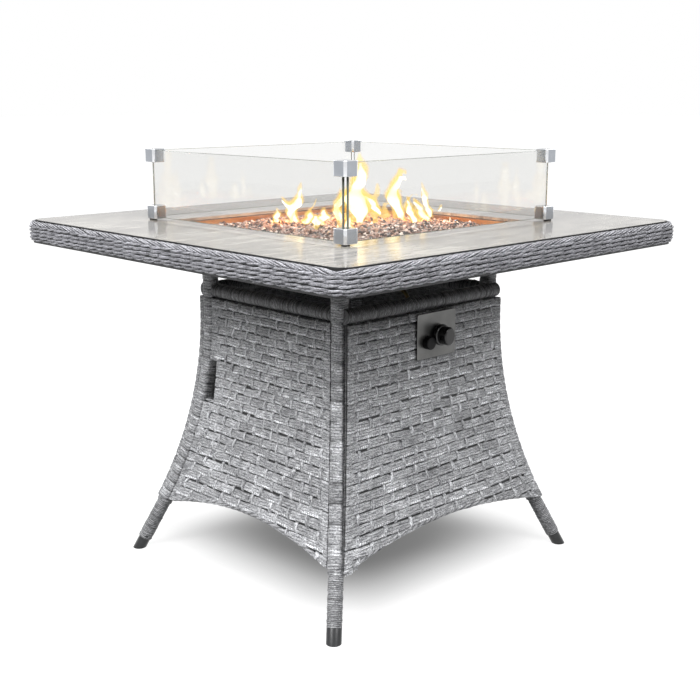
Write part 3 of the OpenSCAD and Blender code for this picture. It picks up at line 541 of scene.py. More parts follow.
# a tube with strands wound round it: a groove runs round it once in each pitch, steeper with more starts;
# without starts it is a rounded square with broad level bands, whose grooves are open on one side;
# reach widens it to some sides
def wrapTube(pile, track, radius, wrap, reach=()):
    pitch, starts, sides = wrap["pitch"], wrap["starts"], wrap["sides"]
    banded = starts == 0
    steps = wound["bandSteps"] if banded else wound["coilSteps"] * starts
    far, line, side, other = tubeFrame(track, pitch, steps)
    angle = np.arange(sides) * 2 * math.pi / sides
    uneven = far + 0.25 * pitch * np.sin(far / (1.9 * pitch))
    below = base["topZ"] + 6 * pitch - line[:, 2]
    phase = (below if banded else uneven)[:, None] / pitch + starts * angle / (2 * math.pi)
    wraps = np.floor(phase).astype(int)
    count = wraps.max() + 2
    swell = chance.normal(0, wound["swell"], count)[wraps]
    shade = chance.normal(wrap["tone"], wound["toneSpread"], count)[wraps]
    crest = np.abs(np.sin(math.pi * phase)) ** wrap["crest"]
    square = 1.0
    if banded:
        openAt = chance.uniform(0, 2 * math.pi, count)[wraps]
        crest = 1 - (1 - crest) * np.clip(0.6 + 0.9 * np.cos(angle - openAt), 0.1, 1)
        square = (np.cos(angle) ** 4 + np.sin(angle) ** 4) ** 0.25
    r = (radius + swell - wrap["depth"] * (1 - crest)) / square
    ring = np.cos(angle)[:, None] * side[:, None, :] + np.sin(angle)[:, None] * other[:, None, :]
    points = line[:, None, :] + r[..., None] * ring
    for wider in reach:
        towards = (points - line[:, None, :]) @ np.sign(wider) / radius
        points = points + np.clip(towards, 0, 1)[..., None] * np.array(wider)
    along = angle * radius + wraps * wound["apart"]
    flat = np.stack([along, (phase - wraps - 0.5) * pitch], -1).reshape(-1, 2)
    # the tone darkens towards the bottom of each groove between wraps: painted shade
    tone = (shade * np.clip(1.25 * crest - 0.25, 0.05, 1)).ravel()
    faces = tubeFaces(len(line), sides)
    pile.lay(points.reshape(-1, 3), faces, tone, flat, float(banded), wound["bead"])


def weavePanel(panel):
    pile = Pile()
    cols, margin = panel["cols"], brick["margin"]
    for row in range(weave["rows"]):
        z0 = base["topZ"] - (row + 0.5) * weave["row"]
        joints = [(2 * k + row % 2 + chance.normal(0, brick["shift"])) / cols - 1
                  for k in range(-1, cols + 2)]
        stretches = rowStretches(panel, z0)
        spans = []
        for left, right in stretches:
            cuts = sorted(min(max(joint, left + margin), right - margin) for joint in joints)
            spans += [(p, q) for p, q in zip(cuts, cuts[1:]) if q - p > brick["shortest"] / cols]
        layBricks(pile, panel, row, z0, spans)
        layStakes(pile, panel, z0, joints[1:-1], stretches)
        layFolds(pile, panel, z0, (stretches[0][0], stretches[-1][1]))
    layBacking(pile, panel)
    for track, radius in panel["edges"]:
        wrapTube(pile, panelTrack(panel, track), radius, edgeWrap)
    for k in range(panel.get("frayed", 0)):
        layFrayed(pile, panel)
    return pile.make(panel["name"])


# post centre line: upright, then a bend, then a straight leg, as in the solids
def postTrack(x, y, high, low):
    splay = math.atan2(base["sideR"], base["frontR"])
    bendR = base["sideR"] * math.cos(splay)
    tilt = math.radians(base["tilt"])
    bendZ = base["flareZ"] - bendR * math.sin(tilt)
    z = np.linspace(high, low, 500)
    inBend = np.clip(base["flareZ"] - z, 0, bendR * math.sin(tilt))
    out = bendR - np.sqrt(bendR ** 2 - inBend ** 2) + np.maximum(bendZ - z, 0) * math.tan(tilt)
    return np.stack([x * (base["postX"] + out * math.cos(splay)),
                     y * (base["postY"] + out * math.sin(splay)), z], -1)


# resin wicker: three thin plies to a flat strand, brushed streaks and beads, dull with a plastic sheen;
# painted shade in the ply grooves and painted highlights on the lowest ply and its beads
def wickerMaterial(name, dark, pale, roughness):
    sheen = {"Roughness": roughness, "IOR": 1.5, "Specular IOR Level": 0.4}
    material, tree, shader = newMaterial(name, sheen)
    place = addNode(tree, "UVMap", {"uv_map": "strand"})
    along, across, _ = addNode(tree, "SeparateXYZ", {}, place).outputs
    tint = addNode(tree, "Attribute", {"attribute_name": "tint"})
    tone, ply, bead = addNode(tree, "SeparateXYZ", {}, tint.outputs["Vector"]).outputs
    # streaks about 18 mm long and 2 mm wide, coarser than real so that they show, and grit of 2 to 4 mm
    streak = blotches(tree, place, (55, 480, 1), 4.0, 0.65)
    grit = blotches(tree, place, (260, 520, 1), 3.0, 0.7)
    # worn patches of 26 by 11 mm, and blotches about 100 mm across over the strands
    patch = blotches(tree, place, (38, 90, 1), 2.0)
    blotch = blotches(tree, addNode(tree, "TexCoord", {}).outputs["Object"], (10, 10, 10), 2.0)
    # grooves between the plies: sunk in the bump, and darkened in colour as painted shade
    cell = addNode(tree, "Math", timesPlus, across, 1 / weave["ply"], 0.5)
    groove = addNode(tree, "Math", timesPlus, addNode(tree, "Math", {"operation": "FRACT"}, cell), 2.0, -1.0)
    groove = addNode(tree, "Math", {"operation": "ABSOLUTE"}, groove)
    groove = addNode(tree, "Math", {"operation": "POWER"}, groove, 5.0)
    groove = addNode(tree, "Math", times, groove, ply)
    # beads 5.8 mm apart on the lowest ply, in broken rows: bumps, and lightened in colour as painted
    # highlights
    lowest = addNode(tree, "Math", {"operation": "LESS_THAN"}, cell, 0.0)
    beads = addNode(tree, "Math", times, along, math.pi / weave["bead"])
    beads = addNode(tree, "Math", {"operation": "SINE"}, beads)
    beads = addNode(tree, "Math", {"operation": "ABSOLUTE"}, beads)
    beads = addNode(tree, "Math", {"operation": "POWER"}, beads, 1.5)
    patchy = addNode(tree, "Math", dict(timesPlus, use_clamp=True), patch, 6.0, -2.28)
    for share in (lowest, patchy, bead):
        beads = addNode(tree, "Math", times, beads, share)
    # streaks and grit give the colour; the tone, random and with the shade painted in the weave, and wear
    # lighten or darken it; grooves darken it as painted shade; the lowest ply and the beads lighten it as
    # painted highlights
    blend = addNode(tree, "Math", timesPlus, grit, 0.5, addNode(tree, "Math", times, streak, 0.5))
    ramp = setRamp(addNode(tree, "ValToRGB", {}, blend), [(0.42, dark), (0.575, pale)])
    litLowestPly = addNode(tree, "Math", timesPlus, lowest, addNode(tree, "Math", times, ply, 0.1), 0.97)
    level = tone
    for share in (addNode(tree, "Math", timesPlus, patch, 0.9, 0.55),
                  addNode(tree, "Math", timesPlus, blotch, 0.6, 0.70),
                  addNode(tree, "Math", timesPlus, groove, -0.7, 1.0),
                  addNode(tree, "Math", timesPlus, beads, 1.3, litLowestPly)):
        level = addNode(tree, "Math", times, level, share)
    shade = addNode(tree, "VectorMath", {"operation": "SCALE", "Scale": level}, ramp)
    relief = addNode(tree, "Math", timesPlus, groove, -0.6, 0.6)
    for part, share in ((streak, 0.5), (grit, 0.5), (beads, 0.4)):
        relief = addNode(tree, "Math", timesPlus, part, share, relief)
    bump = addNode(tree, "Bump", {"Strength": 0.55, "Distance": 0.0012, "Height": relief})
    fill(tree, shader, {"Base Color": shade, "Normal": bump})
    return material


baseWicker = wickerMaterial("grey resin wicker, flat strand", "#58595d", "#dcdde0", 0.5)
rimWicker = wickerMaterial("pale resin wicker, half-round strand", "#3e3e44", "#b8b8be", 0.45)

notch = {"deep": 0.028, "low": 0.354, "high": 0.440, "border": 0.004, "beyond": 0.003, "outside": -0.6}
notchEdge = base["sideHalf"] + flare(base["frontR"], (notch["low"] + notch["high"]) / 2)
notchIn = notch["deep"] - notchEdge
notchHole = (notch["outside"], notchIn, notch["low"], notch["high"])
borderIn, borderHigh = notchIn + notch["border"], notch["high"] + notch["beyond"]
borderLow = notch["low"] - notch["beyond"]
notchTrack = [(-notchEdge, borderHigh), (borderIn, borderHigh), (borderIn, borderLow),
              (-notchEdge - notch["border"], borderLow)]
plateHole = (-0.028, 0.064, 0.489, 0.559)
arch = ("arch", 0.0050)
plain = {"body": "table", "cols": 8, "holes": [], "edges": [arch]}
ends = dict(plain, half=base["endHalf"], faceR=base["frontR"], edgeR=base["sideR"])
sides = dict(plain, half=base["sideHalf"], faceR=base["sideR"], edgeR=base["frontR"])
# the folds' darker sides are painted shade, darkest on the front panel, in the line beside the post
panels = [dict(ends, name="woven_front", node="panel_front", turn=-90, holes=[plateHole], foldSideShade=0.35,
               groove=0.0030, frayed=20),
          dict(ends, name="woven_rear", node="panel_rear", turn=90, foldSideShade=0.9),
          dict(sides, name="woven_right", node="panel_right", turn=0, foldSideShade=0.8),
          dict(sides, name="woven_access_panel", node="access_panel", body="access_panel", turn=180,
               holes=[notchHole], foldSideShade=0.8, edges=[arch, (notchTrack, notch["border"])])]
for panel in panels:
    dress(weavePanel(panel), baseWicker, panel["body"], "woven_base", panel["node"])

# posts: level bands down to the legs, which are coiled; towards the panels the bands reach a little further
corners = {"front_left": (-1, -1), "front_right": (1, -1), "rear_left": (-1, 1), "rear_right": (1, 1)}
post = {"proud": 0.0004, "low": 0.110, "outer": 0.0020, "inner": 0.0014, "innerRight": 0.0034}
frontBands = {"pitch": 0.0380, "depth": 0.0022, "sides": 24, "tone": 1.0, "starts": 0, "crest": 0.26}
rearBands = dict(frontBands, pitch=0.0190)
leg = {"r": 0.0151, "top": 0.119, "low": 0.0245}
legCoil = {"pitch": 0.0036, "depth": 0.0009, "sides": 20, "tone": 0.84, "starts": 1, "crest": 0.55}
for name, (x, y) in corners.items():
    pile = Pile()
    inner = post["innerRight"] if x > 0 else post["inner"]
    wrapTube(pile, postTrack(x, y, base["postTop"], post["low"]), base["legR"] + post["proud"],
             frontBands if y < 0 else rearBands, [(0, y * post["outer"], 0), (0, -y * inner, 0)])
    wrapTube(pile, postTrack(x, y, leg["top"], leg["low"]), leg["r"], legCoil)
    dress(pile.make("wrapped_post_" + name), baseWicker, "table", "woven_base", "post_" + name)

roll = {"r": 0.015, "out": 0.218, "z": 0.590, "endHalf": 0.226, "sideHalf": 0.1885}
# the rolls' strands are set to a low tone: painted shade under the table top
shadedRollCoil = {"pitch": 0.0040, "depth": 0.0003, "sides": 18, "tone": 0.42, "starts": 1, "crest": 0.55}
for name, (x, y) in {"front": (0, -1), "rear": (0, 1), "left": (-1, 0), "right": (1, 0)}.items():
    pile = Pile()
    along = np.linspace(-1, 1, 60) * (roll["endHalf"] if y else roll["sideHalf"])
    track = np.stack([x * roll["out"] + abs(y) * along, y * roll["out"] + abs(x) * along,
                      np.full(len(along), roll["z"])], -1)
    wrapTube(pile, track, roll["r"], shadedRollCoil)
    dress(pile.make("wrapped_roll_" + name), baseWicker, "table", "woven_base", "roll_" + name)
print("base woven")


# woven rim: rows of twined strand round a rounded square, from the gasket over the edge and underneath
rim = {"half": 0.5, "cornerR": 0.045, "round": 0.014, "top": 0.740, "height": 0.048, "show": 0.015,
       "core": -0.0046, "coreSink": 1.1, "coreShadeTone": 0.05, "coreFrom": 0.0003, "coreTuck": 0.0065,
       "laps": 240}
leaf = {"count": 124, "row": 0.0078, "firstRow": 0.0178, "rows": 7, "reach": 1.78, "high": 0.0030,
        "slope": 0.60, "thick": 0.0022, "rise": 0.0022, "dip": 0.0050, "shift": 0.1, "uneven": 0.05,
        "flat": (1.6, 0.004), "tone": (1.0, 0.09)}
border = {"count": 224, "at": 0.0116, "slope": 0.0170, "wide": 0.0022, "reach": 0.066, "sink": 0.0022,
          "dip": 0.0024, "tip": 0.0012, "thick": 0.0021, "uneven": 0.08, "flat": 0.003, "tone": (1.05, 0.10)}
rimLength = 8 * (rim["half"] - rim["cornerR"]) + 2 * math.pi * rim["cornerR"]


# a place on the rim: s along its outer edge anticlockwise from the middle of the front, q down its section,
# w outwards
def rimPoint(s, q, w):
    s, q, w = np.broadcast_arrays(s, q, w)
    r = rim["round"]
    flat = rim["show"] - r
    bend = r * math.pi / 2
    face = rim["height"] - 2 * r
    overEdge = np.clip((q - flat) / r, 0, math.pi / 2)
    underEdge = np.clip((q - flat - bend - face) / r, 0, math.pi / 2)
    under = np.maximum(q - flat - 2 * bend - face, 0)
    inwards = np.where(q < flat, rim["show"] - q, r - r * np.sin(overEdge))
    inwards = inwards + r - r * np.cos(underEdge) + under
    z = rim["top"] - r * (1 - np.cos(overEdge)) - np.clip(q - flat - bend, 0, face) - r * np.sin(underEdge)
    tip = overEdge + underEdge
    inwards = inwards - w * np.sin(tip)
    z = z + w * np.cos(tip)
    straight = 2 * (rim["half"] - rim["cornerR"])
    quarter = straight + rim["cornerR"] * math.pi / 2
    s = np.mod(s + straight / 2, 4 * quarter)
    side = np.floor(s / quarter)
    t = s - side * quarter
    onArc = np.clip((t - straight) / rim["cornerR"], 0, math.pi / 2)
    radius = rim["cornerR"] - inwards
    x = np.minimum(t, straight) - straight / 2 + radius * np.sin(onArc)
    y = -straight / 2 - radius * np.cos(onArc)
    angle = side * math.pi / 2
    return np.stack([x * np.cos(angle) - y * np.sin(angle), x * np.sin(angle) + y * np.cos(angle), z], -1)


# one leaf of twined strand: a seven-sided rod cut along its length, to be tapered and bent
def modelLeaf():
    deselectAll()
    bpy.ops.mesh.primitive_cylinder_add(vertices=7, radius=0.5, depth=1, end_fill_type="NGON")
    rod = bpy.context.object
    bpy.ops.object.mode_set(mode="EDIT")
    cutAcross(2, (-0.4, -0.24, -0.08, 0.08, 0.24, 0.4))
    return takeShape(rod)


leafShape = modelLeaf()


def weaveRim():
    pile = Pile()
    points, faces = leafShape
    t, ring, up = points[:, 2], points[:, 0] * 2, points[:, 1] * 2
    taper = np.maximum(1 - np.abs(2 * t) ** 2.2, 0.0) ** 0.6
    pitch = rimLength / leaf["count"]
    for row in range(leaf["rows"]):
        middle = leaf["firstRow"] + (row + 0.5) * leaf["row"]
        for k in range(leaf["count"]):
            s = (k + leaf["shift"] * math.sin(2.1 * row) + chance.normal(0, leaf["uneven"])) * pitch
            q = middle - t * leaf["row"] * leaf["slope"] + chance.normal(0, 0.0004)
            q = q + ring * leaf["high"] * (0.18 + 0.82 * taper)
            w = rim["core"] + leaf["rise"] - leaf["dip"] * np.abs(2 * t) ** 2 + chance.normal(0, 0.0003)
            w = w + up * leaf["thick"] * (0.3 + 0.7 * taper)
            # leaves darken towards their tips, where they pass under their neighbours: painted shade
            tone = chance.normal(*leaf["tone"]) * (0.35 + 0.65 * taper)
            flat = ownStretch(t * pitch * leaf["flat"][0], ring * leaf["flat"][1])
            pile.lay(rimPoint(s + t * pitch * leaf["reach"], q, w), faces, tone, flat)
    # border strands that lie slantwise over the top edge, mirrored from side to side
    for k in range(border["count"]):
        s = (k + chance.normal(0, border["uneven"])) * rimLength / border["count"]
        lean = 1 if math.floor((s / rimLength * 4 + 0.5) % 4) % 2 == 0 else -1
        q = border["at"] - lean * t * border["slope"] + ring * border["wide"] * (0.5 + 0.5 * taper)
        w = up * border["thick"] - border["sink"] - border["dip"] * np.abs(2 * t) ** 2
        w = w + lean * t * border["tip"]
        # border strands darken towards their ends: painted shade
        tone = chance.normal(*border["tone"]) * (0.55 + 0.45 * taper)
        flat = ownStretch(t * border["reach"], ring * border["flat"])
        pile.lay(rimPoint(s + t * border["reach"], q, w), faces, tone, flat)
    # nearly black core under the strands, closed round the rim's tube: painted shade in the gaps between them
    under = rim["show"] + (math.pi - 3) * rim["round"] + rim["height"]
    section = np.concatenate([np.linspace(rim["coreFrom"], under, 30), [under + rim["coreTuck"]]])[:, None]
    around = np.arange(rim["laps"]) * rimLength / rim["laps"]
    core = rimPoint(around, section, rim["core"] * rim["coreSink"]).reshape(-1, 3)
    flat = np.stack(np.broadcast_arrays(around, section), -1).reshape(-1, 2)
    pile.lay(core, gridFaces(len(section), rim["laps"], True), rim["coreShadeTone"], flat)
    return pile.make("woven_rim")


dress(weaveRim(), rimWicker, "table", "woven_rim", "table_rim")
print("rim woven")


# toughened glass printed underneath: pale stone with fine streaks along the table, glossy on top
def stonePrint():
    material, tree, shader = newMaterial("printed toughened glass", {"Roughness": 0.15, "IOR": 1.5})
    place = addNode(tree, "TexCoord", {}).outputs["Object"]
    # clouds about 200 mm across, fine streaks of 40 by 4 mm and broader ones of 100 by 16 mm
    blend = addNode(tree, "Math", times, blotches(tree, place, (5, 5, 5), 3.0), 0.3)
    for spread, detail, weight in (((26, 240, 1), 6.0, 0.34), ((10, 62, 1), 5.0, 0.36)):
        blend = addNode(tree, "Math", timesPlus, blotches(tree, place, spread, detail), weight, blend)
    ramp = addNode(tree, "ValToRGB", {}, blend)
    setRamp(ramp, [(0.38, "#5f5b57"), (0.5, "#84807a"), (0.62, "#a7a39b")])
    fill(tree, shader, {"Base Color": ramp})
    return material


# a finish of two close tones in a grain of so many millimetres
def plainFinish(name, dark, pale, grainSize, roughness, metallic=0.0, bump=0.0, sheen=0.5):
    settings = {"Roughness": roughness, "Metallic": metallic, "Specular IOR Level": sheen}
    material, tree, shader = newMaterial(name, settings)
    place = addNode(tree, "TexCoord", {}).outputs["Object"]
    grain = blotches(tree, place, [1000 / grainSize] * 3, 4.0)
    ramp = setRamp(addNode(tree, "ValToRGB", {}, grain), [(0.35, dark), (0.65, pale)])
    fill(tree, shader, {"Base Color": ramp})
    if bump:
        relief = addNode(tree, "Bump", {"Strength": bump, "Distance": 0.0004, "Height": grain})
        fill(tree, shader, {"Normal": relief})
    return material


# stainless sheet: copper and straw high up, heat tint together with a painted glow of the fire, dull and dark
# below
def heatTintAndFireGlow():
    material, tree, shader = newMaterial("stainless sheet, heat tint and painted fire glow", {"Roughness": 0.35, "Metallic": 0.75})
    place = addNode(tree, "TexCoord", {}).outputs["Object"]
    # bands about 170 mm long and 33 mm high
    ramp = addNode(tree, "ValToRGB", {}, blotches(tree, place, (6, 6, 30), 4.0))
    setRamp(ramp, [(0.35, "#b3713d"), (0.65, "#e0a870")])
    # the copper, heat tint with a painted fire glow, comes in from 2 to 10 mm above the pan's floor
    height = addNode(tree, "SeparateXYZ", {}, place).outputs[2]
    tintedAndLit = addNode(tree, "MapRange", {"From Min": 0.706, "From Max": 0.714}, height)
    mix = addNode(tree, "Mix", {"data_type": "RGBA", 0: tintedAndLit, 6: linear("#1d1d1e"), 7: ramp})
    fill(tree, shader, {"Base Color": mix.outputs[2]})
    return material


# toughened glass: clear on the face with a faint grey, darker in the edges, where light runs along the pane
def clearGlass(name, colour, through, roughness):
    settings = {"Transmission Weight": through, "Roughness": roughness, "IOR": 1.46}
    return newMaterial(name, {"Base Color": linear(colour), **settings})[0]


finishes = {
    # powder coat: even, slightly orange-peeled dark paint
    "frame_steel": plainFinish("powder-coated steel tube", "#141517", "#1b1c1e", 1.1, 0.5, bump=0.12),
    "printed_glass": stonePrint(),
    # extruded rubber: dull black
    "gasket": plainFinish("extruded black rubber", "#0c0c0d", "#151516", 2.5, 0.6),
    # silicone: milky, with a soft gloss
    "pad": plainFinish("soft clear silicone", "#c4c4c2", "#d8d8d6", 3.3, 0.35),
    # satin stainless: fine even grain
    "stainless": plainFinish("satin stainless steel", "#a4a8ae", "#acb0b6", 25, 0.2, 1.0),
    "pan_steel": heatTintAndFireGlow(),
    # old brass: brown, with a weak gleam
    "gas_brass": plainFinish("dull oxidised brass", "#4a3f28", "#5f5236", 16.7, 0.45, 1.0),
    # phenolic moulding: deep black with sharp lights
    "black_gloss": plainFinish("glossy black phenolic", "#0d0d0e", "#141415", 2, 0.14, sheen=0.42),
    # nylon: dull, with a fine tooth
    "black_matte": plainFinish("matte black nylon", "#141416", "#1c1c1e", 1.4, 0.55, bump=0.1),
    # moulded cap: dark grey with soft lights
    "foot_plastic": plainFinish("dark moulded foot cap", "#1c1d1f", "#27282a", 16.7, 0.3),
    # unglazed ceramic: chalky white
    "ceramic": plainFinish("unglazed white ceramic", "#dcdad2", "#e9e7e0", 1.7, 0.7),
    "clear_glass": clearGlass("clear toughened glass", "#f0f0ef", 1.0, 0.0),
}
edgeGlass = clearGlass("polished glass edge", "#7f857c", 0.45, 0.12)
# the clips' rounded corners: brighter, smoother steel, a painted highlight
clipCornerHighlight = plainFinish("stainless steel, painted corner highlight", "#dfe1e4", "#e8e9ec", 25, 0.12, 1.0)
# the plate's sheet: darker, with broad soft clouds
plateSteel = plainFinish("dark satin steel sheet", "#535352", "#676766", 71.4, 0.36, 1.0)
# the button's cap, which takes hardly any light
buttonBlack = plainFinish("dull black nylon", "#030304", "#070708", 2, 0.4, sheen=0.12)
slots = {p["node"]: p["material_slot"] for p in frame["record"]["subparts"]}
for name, node in nodes.items():
    finish = finishes.get(slots[name])
    if finish is not None:
        node.data.materials.clear()
        node.data.materials.append(finish)
print("solids finished")


# a box with its upright edges rounded more than the others, modelled once for each kind of block
def bevelledBox(size, upright, other, segments):
    deselectAll()
    bpy.ops.mesh.primitive_cube_add(size=1)
    block = bpy.context.object
    bpy.ops.object.mode_set(mode="EDIT")
    bpy.ops.mesh.select_all(action="SELECT")
    bpy.ops.transform.resize(value=size)

    def heights(edge):
        return [block.data.vertices[i].co.z for i in edge.vertices]

    pick(block, "EDGE", lambda edge: np.ptp(heights(edge)) > size[2] * 0.9)
    bpy.ops.mesh.bevel(offset=upright, segments=segments, affect="EDGES")
    pick(block, "EDGE", lambda edge: abs(abs(sum(heights(edge))) - size[2]) < 1e-6)
    bpy.ops.mesh.bevel(offset=other, segments=segments, affect="EDGES")
    return takeShape(block)


# gives a piece's faces its first material where isBroad holds for their normal, and another elsewhere
def shadeEdges(piece, material, isBroad):
    piece.data.materials.append(material)
    for polygon in piece.data.polygons:
        polygon.material_index = 0 if isBroad(polygon.normal) else 1


# wind guard: polished panes and rounded corner clips
guard = {"paneBevel": 0.0009, "clipWide": 0.033, "clipRound": 0.0045, "clipEdge": 0.0009}
for name in ("front", "rear", "left", "right"):
    node = "guard_pane_" + name
    low, high, middle = boxOf(node)
    points, faces = bevelledBox(high - low, guard["paneBevel"], guard["paneBevel"], 2)
    pane = plainPiece("polished_pane_" + name, 30, (points + middle, faces))
    dress(pane, finishes["clear_glass"], "wind_guard", "clear_glass", node)
    thin = int(np.argmin(high - low))
    shadeEdges(pane, edgeGlass, lambda normal: abs(normal[thin]) > 0.95)

wide = guard["clipWide"]
for name in ("top", "base"):
    node = "guard_" + name + "_clips"
    low, high, middle = boxOf(node)
    points, faces = bevelledBox((wide, wide, high[2] - low[2]), guard["clipRound"], guard["clipEdge"], 4)
    place = (high[0] - wide / 2, high[1] - wide / 2, middle[2])
    shapes = [(points + np.multiply(place, (x, y, 1)), faces) for x, y in corners.values()]
    clips = plainPiece("rounded_clips_" + name, 50, *shapes)
    dress(clips, finishes["stainless"], "wind_guard", "stainless", node)
    # the rounded corners take the brighter steel, a painted highlight
    shadeEdges(clips, clipCornerHighlight, lambda normal: max(abs(n) for n in normal) > 0.995)
print("guard glazed")


# a disc with a bevelled front edge and, where recess gives its radius and depth, a hollow back
def turnedDisc(radius, depth, bevel, recess=None):
    deselectAll()
    bpy.ops.mesh.primitive_cylinder_add(vertices=40, radius=radius, depth=depth, location=(0, 0, 0))
    disc = bpy.context.object
    bpy.ops.object.mode_set(mode="EDIT")
    if recess:
        pick(disc, "FACE", lambda face: face.normal.z < -0.9)
        bpy.ops.mesh.inset(thickness=radius - recess[0], depth=0)
        bpy.ops.mesh.extrude_region_move(TRANSFORM_OT_translate={"value": (0, 0, recess[1])})
    pick(disc, "EDGE", lambda edge: all(disc.data.vertices[i].co.z > depth * 0.4 for i in edge.vertices))
    bpy.ops.mesh.bevel(offset=bevel, segments=3, affect="EDGES")
    points, faces = takeShape(disc)
    return points + (0, 0, depth / 2), faces


# foot caps stand flat and lean as the legs do
footCap = {"r": 0.01475, "high": 0.032, "bevel": 0.0016}
for name, (x, y) in corners.items():
    points, faces = turnedDisc(footCap["r"], footCap["high"], footCap["bevel"])
    axis = postTrack(x, y, footCap["high"], 0.0)
    lean = points[:, 2:] / footCap["high"]
    points = points * (1, 1, 0) + axis[-1] * (1 - lean) + axis[0] * lean
    foot = plainPiece("turned_foot_" + name, 40, (points, faces))
    dress(foot, finishes["foot_plastic"], "table", "foot_plastic", "foot_" + name)


# control plate, knob and button face the front: what is modelled upwards is turned to -Y
def faceFront(shape, x, y, z):
    points, faces = shape
    return np.stack([x + points[:, 0], y - points[:, 2], z + points[:, 1]], -1), faces


plate = {"cornerR": 0.003, "edge": 0.0006}
low, high, middle = boxOf("control_plate")
across, deep, tall = high - low
sheet = bevelledBox((across, tall, deep), plate["cornerR"], plate["edge"], 2)
sheet = plainPiece("satin_plate", 50, faceFront(sheet, *middle))
dress(sheet, plateSteel, "table", "stainless", "control_plate")

knob = {"skirt": 0.008, "skirtBevel": 0.0030, "recess": (0.013, 0.006), "gripFrom": 0.007, "grip": 0.031,
        "gripR": 0.019, "gripEdge": 0.0035}
low, high, middle = boxOf("control_knob")
across, deep, tall = high - low
gripDeep = deep - knob["gripFrom"]
skirt = turnedDisc(across / 2, knob["skirt"], knob["skirtBevel"], knob["recess"])
grip = turnedDisc(knob["gripR"], gripDeep, knob["gripEdge"])
grip[0][:, 0] *= knob["grip"] / 2 / knob["gripR"]
moulding = plainPiece("moulded_knob", 50, faceFront(skirt, middle[0], high[1], middle[2]),
                      faceFront(grip, middle[0], low[1] + gripDeep, middle[2]))
dress(moulding, finishes["black_gloss"], "knob", "black_gloss", "control_knob")

button = {"bevel": 0.002}
low, high, middle = boxOf("igniter_button")
across, deep, tall = high - low
cap = turnedDisc(across / 2, deep, button["bevel"])
cap = plainPiece("moulded_button", 50, faceFront(cap, middle[0], high[1], middle[2]))
dress(cap, buttonBlack, "igniter_button", "black_gloss", "igniter_button")
print("controls fitted")


# stones: angular chips heaped over the burner, lying on the bumps of the bed
stones = {"across": 72, "inner": 50, "small": 0.0027, "large": 0.0060, "lower": 0.003, "sink": 0.8,
          "uneven": 0.0006, "shape": (1.2, 0.95, 0.75), "kinds": 6, "rugged": 0.2,
          "sheet": 41, "under": 0.005, "sheetShadeTone": 0.02}
bedMesh = nodes["stone_bed"].data
bedTree = BVHTree.FromPolygons([v.co for v in bedMesh.vertices], [p.vertices[:] for p in bedMesh.polygons])
bedHalf = boxOf("stone_bed")[1][0]


# height of the bed's bumps at a place
def bedHeight(x, y):
    inside = bedHalf - 0.0005
    x, y = min(max(x, -inside), inside), min(max(y, -inside), inside)
    spot = bedTree.ray_cast((x, y, 1.0), (0, 0, -1))[0] or bedTree.find_nearest((x, y, 0.73))[0]
    return spot.z


def modelStone(seed):
    deselectAll()
    bpy.ops.mesh.primitive_ico_sphere_add(subdivisions=1, radius=1.2)
    bpy.ops.object.mode_set(mode="EDIT")
    points, faces = takeShape(bpy.context.object)
    points *= 1 + np.random.default_rng(seed).normal(0, stones["rugged"], points.shape)
    return points, faces


def heapStones():
    shapes = [modelStone(seed) for seed in range(stones["kinds"])]
    pile = Pile()
    for across, lower in ((stones["inner"], stones["lower"]), (stones["across"], 0.0)):
        step = 2 * bedHalf / across
        for i in range(across):
            for j in range(across):
                size = stones["small"] + (stones["large"] - stones["small"]) * chance.beta(1.4, 2.2)
                limit = bedHalf - size * 1.2
                x, y = ((k + 0.5 + chance.uniform(-0.5, 0.5)) * step - bedHalf for k in (i, j))
                x, y = np.clip(x, -limit, limit), np.clip(y, -limit, limit)
                z = bedHeight(x, y) - lower - size * stones["sink"] + chance.normal(0, stones["uneven"])
                points, faces = shapes[chance.integers(len(shapes))]
                spin = np.linalg.qr(chance.normal(0, 1, (3, 3)))[0]
                spin[:, 0] *= np.linalg.det(spin)
                shaped = (points * (size * np.array(stones["shape"]))) @ spin.T
                flat = np.stack([np.full(len(points), chance.uniform(0, 1)), points[:, 2]], -1)
                pile.lay(shaped + (x, y, z), faces, chance.uniform(0, 1), flat)
    # a nearly black sheet under the stones: painted shade in the gaps between them
    spots = np.linspace(-bedHalf, bedHalf, stones["sheet"])
    sheet = np.array([(x, y, bedHeight(x, y) - stones["under"]) for x in spots for y in spots])
    pile.lay(sheet, gridFaces(len(spots), len(spots)), stones["sheetShadeTone"])
    return pile.make("burner_stones", 0)


# chipped lava and pebble: each stone has its own colour, mottled and dull
def stoneMaterial():
    material, tree, shader = newMaterial("chipped stone mix", {"Roughness": 0.5, "IOR": 1.5})
    tint = addNode(tree, "Attribute", {"attribute_name": "tint"})
    tone = addNode(tree, "SeparateXYZ", {}, tint.outputs["Vector"])
    ramp = addNode(tree, "ValToRGB", {}, tone)
    ramp.color_ramp.interpolation = "CONSTANT"
    setRamp(ramp, [(0.0, "#211815"), (0.16, "#7e6155"), (0.32, "#ab8f81"), (0.46, "#50362a"),
                   (0.60, "#b3a196"), (0.72, "#94725f"), (0.83, "#7f7975"), (0.93, "#dccfc4")])
    # mottle of about 4 mm
    place = addNode(tree, "TexCoord", {}).outputs["Object"]
    mottle = blotches(tree, place, (260, 260, 260), 5.0)
    shade = addNode(tree, "MapRange", {"To Min": 0.62, "To Max": 1.25}, mottle)
    colour = addNode(tree, "VectorMath", {"operation": "SCALE", "Scale": shade}, ramp)
    bump = addNode(tree, "Bump", {"Strength": 0.5, "Distance": 0.001, "Height": mottle})
    fill(tree, shader, {"Base Color": colour, "Normal": bump})
    return material


dress(heapStones(), stoneMaterial(), "table", "stones", "stone_bed")
print("stones heaped")


